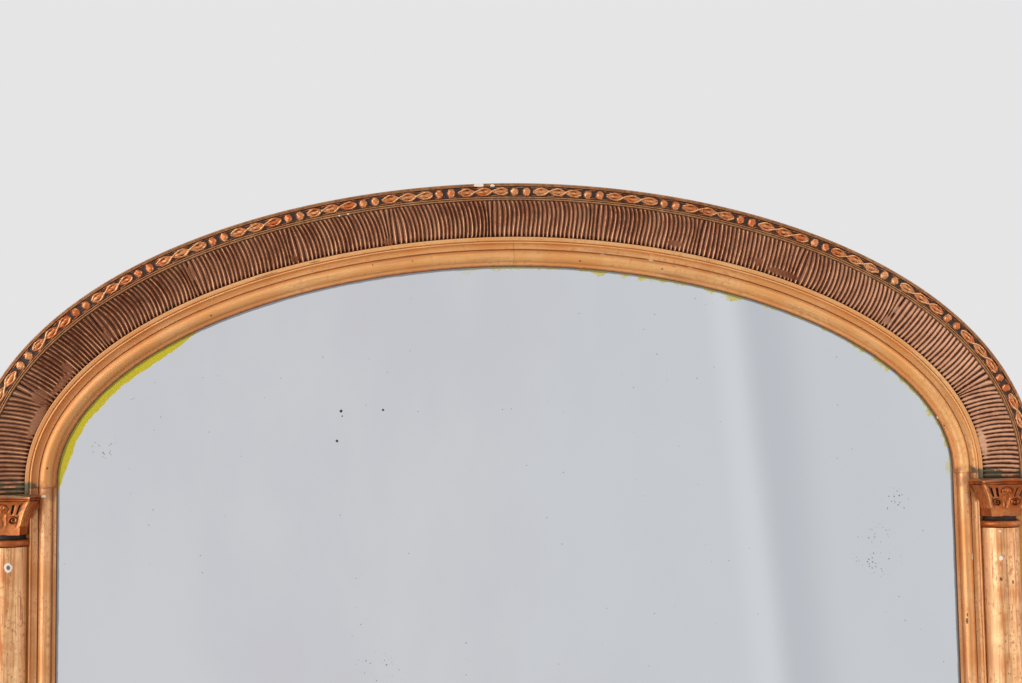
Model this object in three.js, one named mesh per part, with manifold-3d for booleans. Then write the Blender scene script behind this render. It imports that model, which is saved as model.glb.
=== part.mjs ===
// An overmantel mirror with a low arched top. Two half columns carry an arch of
// reeded cove with a bead and ribbon edge, and a plain torus moulding frames the glass.
//
// Millimetres, +Z up. The glass faces -Y and the frame stands on z = 0.
// Sections are drawn in two directions: "out", away from the glass edge, and "fore",
// forward from the face of the glass. The arch line runs from the left spring to the right.
import * as THREE from 'three';
import { mergeVertices } from 'three/addons/utils/BufferGeometryUtils.js';
import Module from 'manifold-3d';

const wasm = await Module();
wasm.setup();

// ---- Sight opening and arch ----
const SIGHT_HALF_WIDTH = 476;
const SIGHT_RISE = 222; // height of the arch above its spring line
const ARCH_FULLNESS = 1.95; // exponent of the curve: 2 is a true ellipse
const SPRING_HEIGHT = 1010; // spring line above the shelf
const SILL_HEIGHT = 112; // lower edge of the visible glass above the shelf
const ARCH_STEPS = 56; // facets round the arch
const SAMPLES_PER_FACET = 16; // when lengths are measured
const SHORTEST_FACET = 2; // at the ends of a run

// ---- Clearances ----
const GLUE_GAP = 0.3; // between pieces that are fitted to each other
const STRIP_GAP = 0.5; // beside the pressed ornament strips
const PLATE_GAP = 1; // round the edge of the glass
const PLANK_GAP = 1.5; // shrinkage between the back planks

// ---- Carcass ----
const PLY_THICKNESS = 11; // the arch and the lapped joints are two plies thick
const FRAME_WIDTH = 87; // glass edge to outer edge
const REBATE_WIDTH = 8; // the carcass stands back this far behind the sight moulding
const CARCASS_SETBACK = 1; // the carcass is this much narrower than the mouldings
const FRONT_SEGMENTS = 3;
const BACK_SEGMENTS = 2;
const LAP_LENGTH = 60; // of the back ply into the stiles

// ---- Glass and back ----
const PLATE_THICKNESS = 4;
const PLANK_COUNT = 4;
const PLANK_THICKNESS = 8;
const PLANK_BEARING = 26; // width of plank lying on the carcass
const BATTEN_WIDTH = 7;
const BATTEN_DEPTH = 12;

// ---- Sight moulding ----
const SIGHT_WIDTH = 26;
const SIGHT_LIP = 2.2; // thickness at the glass edge
const SIGHT_LIP_RISE = 1; // gained on the way to the foot of the torus
const TORUS_RADIUS = 6.4;
const TORUS_CENTRE_OUT = 10.6;
const TORUS_CENTRE_FORE = 4.6;
const FLAT_FORE = 5; // bottom of the hollow beside the torus
const SIGHT_RIDGE_FORE = 9;
const SIGHT_RIDGE_WIDTH = 2;
const HOLLOW_DIP = 0.2; // the hollow is this much lower beside the torus
const HOLLOW_RISE = 0.8; // and this much higher where it turns up to the ridge
const SIGHT_JOINT_DROP = 6; // mitred joint below the spring line

// ---- Cove, reeding and edge ornament of the arch ----
const COVE_LIP_WIDTH = 4.7;
const COVE_LIP_FORE = 8.4;
const COVE_LIP_ROUNDING = 1;
const REED_INNER_FORE = 6.8;
const REED_OUTER_FORE = 15.8;
const REED_EXPONENT = 1.8; // exponent of the hollow between the two edges
const REED_RELIEF = 1.6;
const REED_PITCH = 4.7;
const REED_SEAT_DROP = 4.6; // the wooden seat below the reeding's edges
const STRIP_SHARES = [109, 93, 108, 107, 107, 108, 113, 113, 112, 117, 113, 109]; // left to right
const FILLET_WIDTH = 3.6;
const FILLET_FORE = 19;
const ORNAMENT_WIDTH = 10.8;
const ORNAMENT_FLOOR = 17; // fore of the channel that the ornament lies in
const ORNAMENT_BASE = 1.4;
const EDGE_WIDTH = 3.6;
const EDGE_FORE = 19.5;
const EDGE_CHAMFER = 1.6;
const COVE_SEGMENTS = 3;
const ORNAMENT_PIECES = 3;
const ORNAMENT_REPEAT = 84; // measured along the ornament
const BEAD_DIAMETER = 9.4;
const BEAD_SPACING = 13;
const BEAD_RELIEF = 4;
const HUSK_LENGTH = 58; // a pair of husks, tip to tip
const HUSK_GAP = 1;
const HUSK_WIDTH = 8.2;
const HUSK_RELIEF = 3.4;
const BEAD_SIDES = 6; // of the low bosses that stand for the beads
const HUSK_SIDES = 4;

// ---- Half columns ----
const SPRINGER_DROP = 12; // top of the capitals below the spring line
const FACING_THICKNESS = 5.5;
const COLUMN_INNER_MARGIN = 1.7; // facing left bare beside the shaft, towards the glass
const COLUMN_OUTER_MARGIN = 19; // and towards the outer edge
const COLUMN_FACETS = 16;
const CAPITAL_HEIGHT = 53;
const ABACUS_HEIGHT = 5;
const ABACUS_OVERHANG = 16; // beyond the shaft, at the wall
const ABACUS_FRONT_OVERHANG = 5;
const ABACUS_DEPTH = 29.5;
const ABACUS_EDGE = 1.5; // overhang past the bell
const BELL_EXPONENT = 1.8; // exponent of the hollow bell
const BELL_STEPS = 6;
const BELL_FOOT_OVERHANG = 2;
const BELL_FOOT_FRONT_SETBACK = 7;
const BELL_FOOT_DEPTH = 20;
const NECK_SETBACK = 1.5;
const NECK_HEIGHT = 3;
const ASTRAGAL_OVERHANG = 3;
const ASTRAGAL_HEIGHT = 8;
const ASTRAGAL_ROUNDING = 2;
const PLINTH_OVERHANG = 16;
const PLINTH_DEPTH = 29;
const PLINTH_HEIGHT = 50;
const PLINTH_CHAMFER = 3;
const BASE_OVERHANG = 8;
const BASE_HEIGHT = 30;

// ---- Foot of the frame ----
const FOOT_MOULDING_HEIGHT = 34;
const FOOT_MOULDING_DEPTH = 20;

// ---- Hangers on the back ----
const HANGER_DROP = 105; // ring pivot below the spring line
const HANGER_INSET = 27; // from the outer edge
const STRAP_WIDTH = 12;
const STRAP_LENGTH = 52;
const STRAP_THICKNESS = 1.4;
const RING_WIRE = 4;
const RING_HALF_WIDTH = 16;
const RING_SHOULDER = 12; // straight part of the bow below the bar
const RING_CORNER = 4;
const RING_SIDES = 6;
const RING_STEPS = 28;
const PIVOT_CLEARANCE = 0.4;
const SCREW_SPACING = 25;
const SCREW_DIAMETER = 3.5;
const SCREW_LENGTH = 14;
const SCREW_HEAD_DIAMETER = 7;
const SCREW_HEAD_HEIGHT = 1.6;
const SCREW_FLAT_DIAMETER = 4.6; // flat top of the head
const PILOT_EXTRA = 1; // the hole goes this much deeper than the screw
const SCREW_SIDES = 8;

// ---- Sizes worked out from those above ----
const CARCASS_THICKNESS = 2 * PLY_THICKNESS;
const CARCASS_OUT = FRAME_WIDTH - CARCASS_SETBACK;
const PLATE_OUT = REBATE_WIDTH - PLATE_GAP;
const PLANK_OUT = REBATE_WIDTH + PLANK_BEARING;
const RAIL_HEIGHT = SILL_HEIGHT - REBATE_WIDTH;
const BACK_DEPTH = CARCASS_THICKNESS + PLANK_THICKNESS;
const FRONT_DEPTH = FACING_THICKNESS + ABACUS_DEPTH;
const GLASS_Y = (FRONT_DEPTH - BACK_DEPTH) / 2; // centres the frame's depth on the origin
const COVE_OUT = SIGHT_WIDTH + GLUE_GAP;
const REED_OUT = COVE_OUT + COVE_LIP_WIDTH;
const EDGE_OUT = FRAME_WIDTH - EDGE_WIDTH;
const ORNAMENT_OUT = EDGE_OUT - ORNAMENT_WIDTH;
const FILLET_OUT = ORNAMENT_OUT - FILLET_WIDTH;
const REED_WIDTH = FILLET_OUT - REED_OUT;
const CAPITAL_TOP = SPRING_HEIGHT - SPRINGER_DROP;
const SHAFT_TOP = CAPITAL_TOP - CAPITAL_HEIGHT;
const SHAFT_OUT = COVE_OUT + COLUMN_INNER_MARGIN;
const COLUMN_RADIUS = (FRAME_WIDTH - COLUMN_OUTER_MARGIN - SHAFT_OUT) / 2;
const COLUMN_X = SIGHT_HALF_WIDTH + SHAFT_OUT + COLUMN_RADIUS;
const PLINTH_HALF_WIDTH = COLUMN_RADIUS + PLINTH_OVERHANG;
const FACING_Y = GLASS_Y - FACING_THICKNESS;
const CARCASS_BACK_Y = GLASS_Y + CARCASS_THICKNESS;

// ---- Finishes ----
function finish(color, roughness, metalness) {
  return new THREE.MeshStandardMaterial({ color, roughness, metalness });
}
const gilding = finish(0xd9a066, 0.38, 0.6);
const burnished = finish(0xe2b078, 0.3, 0.65);
const darkGilding = finish(0x8a5a38, 0.5, 0.4);
const copperGilding = finish(0xa5613a, 0.42, 0.5);
const pine = finish(0xb48a5e, 0.85, 0);
const agedPine = finish(0x8d6a47, 0.9, 0);
const silvered = finish(0xc8ccce, 0.04, 1);
const iron = finish(0x4a4540, 0.6, 0.8);
const steel = finish(0x8a8680, 0.45, 0.9);

// ---- The arch line ----
const ARCH_SAMPLES = ARCH_STEPS * SAMPLES_PER_FACET;

/** A point of the sight edge at angle t, 0 at the left spring and PI at the right. */
function archPoint(t) {
  const across = Math.cos(t);
  const up = Math.max(Math.sin(t), 0);
  const power = 2 / ARCH_FULLNESS;
  const x = -SIGHT_HALF_WIDTH * Math.sign(across) * Math.abs(across) ** power;
  const z = SIGHT_RISE * up ** power;
  const nx = Math.sign(x) * (Math.abs(x) / SIGHT_HALF_WIDTH) ** (ARCH_FULLNESS - 1) / SIGHT_HALF_WIDTH;
  const nz = (z / SIGHT_RISE) ** (ARCH_FULLNESS - 1) / SIGHT_RISE;
  const normal = new THREE.Vector2(nx, nz).normalize();
  return { x, z: SPRING_HEIGHT + z, nx: normal.x, nz: normal.y };
}

/** Measures lengths along a line parallel to the arch, "out" from the glass edge. */
class ArchTrack {
  constructor(out) {
    this.lengths = [0];
    let last = archPoint(0);
    for (let i = 1; i <= ARCH_SAMPLES; i += 1) {
      const next = archPoint(Math.PI * i / ARCH_SAMPLES);
      const dx = next.x - last.x + out * (next.nx - last.nx);
      const dz = next.z - last.z + out * (next.nz - last.nz);
      this.lengths.push(this.lengths[i - 1] + Math.hypot(dx, dz));
      last = next;
    }
    this.length = this.lengths[ARCH_SAMPLES];
  }

  /** The station at a distance along the track: before 0 and past the end it is on a leg. */
  stationAt(distance) {
    if (distance <= 0) {
      return { x: -SIGHT_HALF_WIDTH, z: SPRING_HEIGHT + distance, nx: -1, nz: 0 };
    }
    if (distance >= this.length) {
      return { x: SIGHT_HALF_WIDTH, z: SPRING_HEIGHT + this.length - distance, nx: 1, nz: 0 };
    }
    const row = this.lengths.findIndex((length) => length > distance) - 1;
    const part = (distance - this.lengths[row]) / (this.lengths[row + 1] - this.lengths[row]);
    return archPoint(Math.PI * (row + part) / ARCH_SAMPLES);
  }

  /** The distances at which a run between two ends has a station. All runs share the facets. */
  stops(start, end) {
    const stops = [start];
    for (let i = 0; i <= ARCH_STEPS; i += 1) {
      const stop = this.lengths[i * SAMPLES_PER_FACET];
      if (stop > start + SHORTEST_FACET && stop < end - SHORTEST_FACET) {
        stops.push(stop);
      }
    }
    stops.push(end);
    return stops;
  }

  stations(start, end) {
    return this.stops(start, end).map((stop) => this.stationAt(stop));
  }
}
const reedTrack = new ArchTrack(REED_OUT + REED_WIDTH / 2);
const ornamentTrack = new ArchTrack(ORNAMENT_OUT + ORNAMENT_WIDTH / 2);

/** World place of a point given by its station and its "out" and "fore" sizes. */
function placeAt(station, out, fore) {
  return [station.x + out * station.nx, GLASS_Y - fore, station.z + out * station.nz];
}

// ---- Geometry helpers ----
/** Drops all but positions and joins the corners, so that the surface is closed. */
function sealed(geometry) {
  const bare = geometry.index ? geometry : geometry.clone();
  bare.deleteAttribute('normal');
  bare.deleteAttribute('uv');
  return mergeVertices(bare, 1e-3);
}

/** Moves every vertex to where place(x, y, z) says. */
function reshape(geometry, place) {
  const position = geometry.attributes.position;
  for (let i = 0; i < position.count; i += 1) {
    position.setXYZ(i, ...place(position.getX(i), position.getY(i), position.getZ(i)));
  }
  return geometry;
}

function extrude(shape, depth, steps, curveSegments) {
  return new THREE.ExtrudeGeometry(shape, { depth, steps, curveSegments, bevelEnabled: false });
}

function polygon(points) {
  return new THREE.Shape(points.map(([x, y]) => new THREE.Vector2(x, y)));
}

function box(min, max) {
  const size = max.map((value, axis) => value - min[axis]);
  const middle = max.map((value, axis) => (value + min[axis]) / 2);
  return new THREE.BoxGeometry(...size).translate(...middle);
}

function toSolid(geometry) {
  const closed = sealed(geometry);
  const vertProperties = new Float32Array(closed.attributes.position.array);
  const triVerts = new Uint32Array(closed.index.array);
  return new wasm.Manifold(new wasm.Mesh({ numProp: 3, vertProperties, triVerts }));
}

function fromSolid(solid) {
  const { vertProperties, triVerts } = solid.getMesh();
  const geometry = new THREE.BufferGeometry();
  geometry.setAttribute('position', new THREE.BufferAttribute(new Float32Array(vertProperties), 3));
  geometry.setIndex(new THREE.BufferAttribute(new Uint32Array(triVerts), 1));
  return geometry;
}

/** The geometry with all the others joined to it. */
function joined(geometry, others) {
  return fromSolid(others.reduce((solid, other) => solid.add(toSolid(other)), toSolid(geometry)));
}

/** The geometry with all the others cut from it. */
function cut(geometry, others) {
  return fromSolid(others.reduce((solid, other) => solid.subtract(toSolid(other)), toSolid(geometry)));
}

/** The part of the geometry inside a box. */
function within(geometry, min, max) {
  return fromSolid(toSolid(geometry).intersect(toSolid(box(min, max))));
}

/** A section in (out, fore) carried along the arch line between two distances. */
function archRun(section, start, end, track = reedTrack) {
  const stations = track.stations(start, end);
  const steps = stations.length - 1;
  const run = extrude(section, 1, steps, 3);
  return reshape(run, (out, fore, part) => placeAt(stations[Math.round(part * steps)], out, fore));
}

/** The same section along a straight edge; each end slopes by its mitre, in length per "out". */
function straightRun(section, from, to, normal, mitres) {
  return reshape(extrude(section, 1, 1, 3), (out, fore, part) => {
    const along = part < 0.5 ? 0 : 1;
    const station = {
      x: from[0] + (to[0] - from[0]) * along,
      z: from[1] + (to[1] - from[1]) * along,
      nx: normal[0] + mitres[along][0],
      nz: normal[1] + mitres[along][1],
    };
    return placeAt(station, out, fore);
  });
}

/** Closed skin through equal rings of points, each ring counterclockwise seen from above. */
function loft(rings) {
  const count = rings[0].length;
  const points = rings.flat();
  const index = [];
  rings.slice(1).forEach((ring, level) => {
    for (let i = 0; i < count; i += 1) {
      const a = level * count + i;
      const b = level * count + (i + 1) % count;
      index.push(a, b, b + count, a, b + count, a + count);
    }
  });
  const top = (rings.length - 1) * count;
  const outline = rings[0].map((point) => new THREE.Vector2(point.x, point.y));
  THREE.ShapeUtils.triangulateShape(outline, []).forEach(([a, b, c]) => {
    index.push(a, c, b, top + a, top + b, top + c);
  });
  return new THREE.BufferGeometry().setFromPoints(points).setIndex(index);
}

/** Mirrors a right hand geometry to the left. */
function handed(geometry, side) {
  if (side > 0) {
    return geometry;
  }
  const closed = sealed(geometry);
  closed.scale(-1, 1, 1);
  const index = closed.index.array;
  for (let i = 0; i < index.length; i += 3) {
    [index[i], index[i + 1]] = [index[i + 1], index[i]];
  }
  return closed;
}

// ---- The model ----
const mirror = new THREE.Group();

function add(name, geometry, material, group = mirror) {
  const mesh = new THREE.Mesh(sealed(geometry), material);
  mesh.name = name;
  group.add(mesh);
  return mesh;
}

/** Splits a length in proportion to the shares, with a gap between neighbours. */
function share(start, end, shares, gap) {
  const unit = (end - start) / shares.reduce((sum, part) => sum + part, 0);
  let from = start;
  return shares.map((part, i) => {
    const to = from + part * unit;
    const piece = { start: from + (i > 0 ? gap / 2 : 0), end: to - (i < shares.length - 1 ? gap / 2 : 0) };
    from = to;
    return piece;
  });
}

/** Splits a length into equal pieces with a gap between neighbours. */
function divide(start, end, count, gap) {
  return share(start, end, Array(count).fill(1), gap);
}

const SIDES = [['left', -1], ['right', 1]];

// ---- Carcass: two staggered plies round the arch, lapped stiles and rail ----
function plySection(ply) {
  const front = -ply * PLY_THICKNESS;
  const back = front - PLY_THICKNESS;
  return polygon([[REBATE_WIDTH, back], [CARCASS_OUT, back], [CARCASS_OUT, front], [REBATE_WIDTH, front]]);
}

function buildCarcass(screwHoles) {
  const length = reedTrack.length;
  divide(0, length, FRONT_SEGMENTS, GLUE_GAP).forEach(({ start, end }, i) => {
    add(`arch_front_ply_${i + 1}`, archRun(plySection(0), start, end), pine);
  });
  divide(-LAP_LENGTH, length + LAP_LENGTH, BACK_SEGMENTS, GLUE_GAP).forEach(({ start, end }, i) => {
    add(`arch_back_ply_${i + 1}`, archRun(plySection(1), start, end), pine);
  });
  const stile = stileGeometry();
  SIDES.forEach(([name, hand]) => {
    add(`stile_${name}`, cut(handed(stile, hand), screwHoles), pine);
  });
  add('bottom_rail', railGeometry(), pine);
}

/** The right stile: full thickness between two half laps cut from its back. */
function stileGeometry() {
  const half = PLY_THICKNESS;
  const whole = CARCASS_THICKNESS;
  const lapHead = RAIL_HEIGHT + GLUE_GAP;
  const lapFoot = SPRING_HEIGHT - LAP_LENGTH - GLUE_GAP;
  const top = SPRING_HEIGHT - GLUE_GAP;
  const profile = polygon([
    [0, 0], [half, 0], [half, lapHead], [whole, lapHead],
    [whole, lapFoot], [half, lapFoot], [half, top], [0, top],
  ]);
  const inner = SIGHT_HALF_WIDTH + REBATE_WIDTH;
  const width = CARCASS_OUT - REBATE_WIDTH;
  return reshape(extrude(profile, width, 1), (back, z, x) => [inner + x, GLASS_Y + back, z]);
}

/** The rail between the stiles, with a half-thickness tongue behind each. */
function railGeometry() {
  const shoulder = SIGHT_HALF_WIDTH + REBATE_WIDTH - GLUE_GAP;
  const end = SIGHT_HALF_WIDTH + CARCASS_OUT;
  const half = PLY_THICKNESS;
  const whole = CARCASS_THICKNESS;
  const plan = polygon([
    [-shoulder, 0], [shoulder, 0], [shoulder, half], [end, half],
    [end, whole], [-end, whole], [-end, half], [-shoulder, half],
  ]);
  return reshape(extrude(plan, RAIL_HEIGHT, 1), (x, back, z) => [x, GLASS_Y + back, z]);
}

// ---- Glass, battens and back planks ----
/** The arch line offset by "out", as x and z from left to right. */
function archOutline(out) {
  return reedTrack.stations(0, reedTrack.length).map((station) => {
    const [x, , z] = placeAt(station, out, 0);
    return new THREE.Vector2(x, z);
  });
}

/** The flat outline of the arched opening, widened by "out" on every side. */
function openingOutline(out, foot) {
  const arch = archOutline(out);
  const half = SIGHT_HALF_WIDTH + out;
  return [new THREE.Vector2(half, foot), new THREE.Vector2(-half, foot), ...arch].reverse();
}

/** A flat sheet of the given outline whose front lies "behind" the face of the glass. */
function panel(outline, behind, thickness) {
  const geometry = extrude(new THREE.Shape(outline), thickness, 1);
  return reshape(geometry, (x, z, depth) => [x, GLASS_Y + behind + thickness - depth, z]);
}

function buildPlate() {
  const outline = openingOutline(PLATE_OUT, RAIL_HEIGHT + GLUE_GAP);
  add('mirror_plate', panel(outline, 0, PLATE_THICKNESS), silvered);
}

/** A wedge glued in the corner between the back of the glass and the carcass. */
function battenSection() {
  const corner = REBATE_WIDTH - GLUE_GAP;
  const face = -PLATE_THICKNESS - GLUE_GAP;
  return polygon([[corner, face], [corner - BATTEN_WIDTH, face], [corner, face - BATTEN_DEPTH]]);
}

/** The straight right side and the foot of a section that frames the glass, mitred together. */
function straightSides(section, head) {
  const x = SIGHT_HALF_WIDTH;
  const ends = [[x, head - GLUE_GAP], [x, SILL_HEIGHT + GLUE_GAP]];
  const corners = [[x, SILL_HEIGHT], [-x, SILL_HEIGHT]];
  return {
    side: straightRun(section, ...ends, [1, 0], [[0, 0], [0, -1]]),
    foot: straightRun(section, ...corners, [0, -1], [[1, 0], [-1, 0]]),
  };
}

function buildBattens() {
  const section = battenSection();
  const { side, foot } = straightSides(section, SPRING_HEIGHT);
  add('glass_batten_arch', archRun(section, 0, reedTrack.length), agedPine);
  SIDES.forEach(([name, hand]) => add(`glass_batten_${name}`, handed(side, hand), agedPine));
  add('glass_batten_bottom', foot, agedPine);
}

function buildPlanks() {
  const half = SIGHT_HALF_WIDTH + PLANK_OUT;
  const outline = openingOutline(PLANK_OUT, RAIL_HEIGHT - PLANK_BEARING);
  const board = panel(outline, CARCASS_THICKNESS, PLANK_THICKNESS);
  const top = SPRING_HEIGHT + SIGHT_RISE + FRAME_WIDTH;
  divide(-half, half, PLANK_COUNT, PLANK_GAP).forEach(({ start, end }, i) => {
    const plank = within(board, [start, GLASS_Y, 0], [end, GLASS_Y + 2 * BACK_DEPTH, top]);
    add(`back_plank_${i + 1}`, plank, agedPine);
  });
}

// ---- Sight moulding: lip, torus, hollow and ridge ----
function sightSection() {
  const shape = new THREE.Shape();
  const start = TORUS_CENTRE_OUT + TORUS_RADIUS;
  shape.moveTo(0, 0);
  shape.lineTo(SIGHT_WIDTH, 0);
  shape.lineTo(SIGHT_WIDTH, SIGHT_RIDGE_FORE);
  shape.lineTo(SIGHT_WIDTH - SIGHT_RIDGE_WIDTH, SIGHT_RIDGE_FORE);
  const hollowOut = (SIGHT_WIDTH - SIGHT_RIDGE_WIDTH + start) / 2;
  shape.lineTo(hollowOut, FLAT_FORE + HOLLOW_RISE);
  shape.lineTo(start, FLAT_FORE - HOLLOW_DIP);
  shape.absarc(TORUS_CENTRE_OUT, TORUS_CENTRE_FORE, TORUS_RADIUS, 0, Math.PI, false);
  shape.lineTo(TORUS_CENTRE_OUT - TORUS_RADIUS - HOLLOW_RISE, SIGHT_LIP + SIGHT_LIP_RISE);
  shape.lineTo(0, SIGHT_LIP);
  return shape;
}

function buildSightMoulding() {
  const section = sightSection();
  const drop = SIGHT_JOINT_DROP;
  divide(-drop, reedTrack.length + drop, 2, GLUE_GAP).forEach(({ start, end }, i) => {
    add(`sight_arch_${SIDES[i][0]}`, archRun(section, start, end), gilding);
  });
  const { side, foot } = straightSides(section, SPRING_HEIGHT - drop);
  SIDES.forEach(([name, hand]) => add(`sight_${name}`, handed(side, hand), burnished));
  add('sight_bottom', foot, burnished);
}

// ---- Cove, reeded strips and edge ornament ----
function coveSection() {
  const seatInner = REED_INNER_FORE - REED_SEAT_DROP;
  const seatOuter = REED_OUTER_FORE - REED_SEAT_DROP;
  return polygon([
    [COVE_OUT, 0], [FRAME_WIDTH, 0], [FRAME_WIDTH, EDGE_FORE - EDGE_CHAMFER],
    [FRAME_WIDTH - EDGE_CHAMFER, EDGE_FORE], [EDGE_OUT, EDGE_FORE], [EDGE_OUT, ORNAMENT_FLOOR],
    [ORNAMENT_OUT, ORNAMENT_FLOOR], [ORNAMENT_OUT, FILLET_FORE], [FILLET_OUT, FILLET_FORE],
    [FILLET_OUT, seatOuter], [REED_OUT, seatInner], [REED_OUT, COVE_LIP_FORE],
    [COVE_OUT + COVE_LIP_WIDTH / 3, COVE_LIP_FORE], [COVE_OUT, COVE_LIP_FORE - COVE_LIP_ROUNDING],
  ]);
}

/** Height of the reeding's valleys, a hollow that steepens towards the outer edge. */
function reedFore(out) {
  const part = THREE.MathUtils.clamp((out - REED_OUT) / REED_WIDTH, 0, 1);
  return REED_INNER_FORE + (REED_OUTER_FORE - REED_INNER_FORE) * part ** REED_EXPONENT;
}

function seatFore(out) {
  const part = (out - REED_OUT) / REED_WIDTH;
  return REED_INNER_FORE - REED_SEAT_DROP + (REED_OUTER_FORE - REED_INNER_FORE) * part;
}

/** Points of one line of a strip; the first and last lie on the strip's ends. */
function stripLine(stops, out, foreAt) {
  return stops.map((along, i) => ({
    along,
    point: new THREE.Vector3(...placeAt(reedTrack.stationAt(along), out, foreAt(i))),
  }));
}

/** Triangles between two neighbouring lines, stepping along whichever has the next point. */
function zipLines(a, b, index) {
  let i = 0;
  let j = 0;
  while (i < a.length - 1 || j < b.length - 1) {
    const alongA = j === b.length - 1 || (i < a.length - 1 && a[i + 1].along <= b[j + 1].along);
    index.push(a[i].id, alongA ? a[i + 1].id : b[j + 1].id, b[j].id);
    i += alongA ? 1 : 0;
    j += alongA ? 0 : 1;
  }
}

/** A pressed strip of reeding: three ribbed lines on top, and two on the straight seat. */
function reedStrip(start, end) {
  const ribs = Math.round((end - start) / REED_PITCH);
  const halfPitch = (end - start) / ribs / 2;
  const crests = Array.from({ length: 2 * ribs + 1 }, (_, i) => start + i * halfPitch);
  const seats = reedTrack.stops(start, end);
  const inner = REED_OUT + STRIP_GAP;
  const outer = FILLET_OUT - STRIP_GAP;
  const ribbed = [inner, (inner + outer) / 2, outer].map((out) => (
    stripLine(crests, out, (i) => reedFore(out) + (i % 2) * REED_RELIEF)
  ));
  const seated = [outer, inner].map((out) => stripLine(seats, out, () => seatFore(out) + GLUE_GAP));
  const lines = [...ribbed, ...seated];
  const points = lines.flat();
  points.forEach((entry, id) => Object.assign(entry, { id }));
  const index = [];
  lines.forEach((line, i) => zipLines(line, lines[(i + 1) % lines.length], index));
  for (let i = 1; i < lines.length - 1; i += 1) {
    index.push(lines[0][0].id, lines[i][0].id, lines[i + 1][0].id);
    index.push(lines[0].at(-1).id, lines[i + 1].at(-1).id, lines[i].at(-1).id);
  }
  return new THREE.BufferGeometry().setFromPoints(points.map(({ point }) => point)).setIndex(index);
}

/** A low pointed boss in the ornament, at a distance along the arch. */
function ornamentBoss(along, length, width, relief, corners) {
  const boss = new THREE.SphereGeometry(1, corners, 2).rotateX(Math.PI / 2);
  const middle = ORNAMENT_OUT + ORNAMENT_WIDTH / 2;
  const seat = ORNAMENT_FLOOR + GLUE_GAP + ORNAMENT_BASE / 2;
  return reshape(boss, (x, y, z) => {
    const station = ornamentTrack.stationAt(along + x * length / 2);
    const fore = seat + z * (z > 0 ? relief : ORNAMENT_BASE / 4);
    return placeAt(station, middle + y * width / 2, fore);
  });
}

/** One piece of the edge ornament: pairs of beads with a husk between, on a thin ribbon. */
function ornamentPiece(start, end, centres) {
  const inner = ORNAMENT_OUT + STRIP_GAP;
  const outer = EDGE_OUT - STRIP_GAP;
  const low = ORNAMENT_FLOOR + GLUE_GAP;
  const high = low + ORNAMENT_BASE;
  const section = polygon([[inner, low], [outer, low], [outer, high], [inner, high]]);
  const ribbon = archRun(section, start, end, ornamentTrack);
  const forms = [];
  centres.filter((centre) => centre > start && centre < end).forEach((centre) => {
    [-0.5, 0.5].forEach((place) => {
      const along = centre + place * BEAD_SPACING;
      forms.push(ornamentBoss(along, BEAD_DIAMETER, BEAD_DIAMETER, BEAD_RELIEF, BEAD_SIDES));
    });
    [-1, 1].forEach((hand) => {
      const along = centre + hand * (BEAD_SPACING + BEAD_DIAMETER + HUSK_LENGTH / 2) / 2;
      forms.push(ornamentBoss(along, HUSK_LENGTH / 2 - HUSK_GAP, HUSK_WIDTH, HUSK_RELIEF, HUSK_SIDES));
    });
  });
  return joined(ribbon, forms);
}

function buildArchMouldings() {
  const foot = -SPRINGER_DROP + GLUE_GAP;
  const head = reedTrack.length - foot;
  divide(foot, head, COVE_SEGMENTS, GLUE_GAP).forEach(({ start, end }, i) => {
    add(`cove_${i + 1}`, archRun(coveSection(), start, end), gilding);
  });
  share(foot, head, STRIP_SHARES, STRIP_GAP).forEach(({ start, end }, i) => {
    add(`reed_strip_${i + 1}`, reedStrip(start, end), darkGilding);
  });
}

/** The ornament's pieces are cut halfway between two pairs of beads. */
function buildOrnament() {
  const foot = -SPRINGER_DROP + GLUE_GAP;
  const length = ornamentTrack.length - 2 * foot;
  const repeats = Math.round(length / ORNAMENT_REPEAT);
  const pitch = length / repeats;
  const centres = Array.from({ length: repeats }, (_, i) => foot + (i + 0.5) * pitch);
  for (let i = 0; i < ORNAMENT_PIECES; i += 1) {
    const first = Math.round(i * repeats / ORNAMENT_PIECES);
    const last = Math.round((i + 1) * repeats / ORNAMENT_PIECES);
    const start = foot + first * pitch + (i > 0 ? STRIP_GAP / 2 : 0);
    const end = foot + last * pitch - (i < ORNAMENT_PIECES - 1 ? STRIP_GAP / 2 : 0);
    add(`ornament_${i + 1}`, ornamentPiece(start, end, centres), copperGilding);
  }
}

// ---- Half columns, seen from above with the wall side flat ----
/** Half round outline of a turned form at one height, on the right hand column's axis. */
function halfRing(radius, z) {
  const ring = [];
  for (let i = 0; i <= COLUMN_FACETS; i += 1) {
    const angle = Math.PI + Math.PI * i / COLUMN_FACETS;
    ring.push(new THREE.Vector3(COLUMN_X + radius * Math.cos(angle), FACING_Y + radius * Math.sin(angle), z));
  }
  return ring;
}

/** Outline with four corners: wide at the wall, narrower in front. */
function squareRing(half, frontHalf, depth, z) {
  const y = FACING_Y - depth;
  const corners = [[-half, FACING_Y], [-frontHalf, y], [frontHalf, y], [half, FACING_Y]];
  return corners.map(([x, cornerY]) => new THREE.Vector3(COLUMN_X + x, cornerY, z));
}

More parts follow.
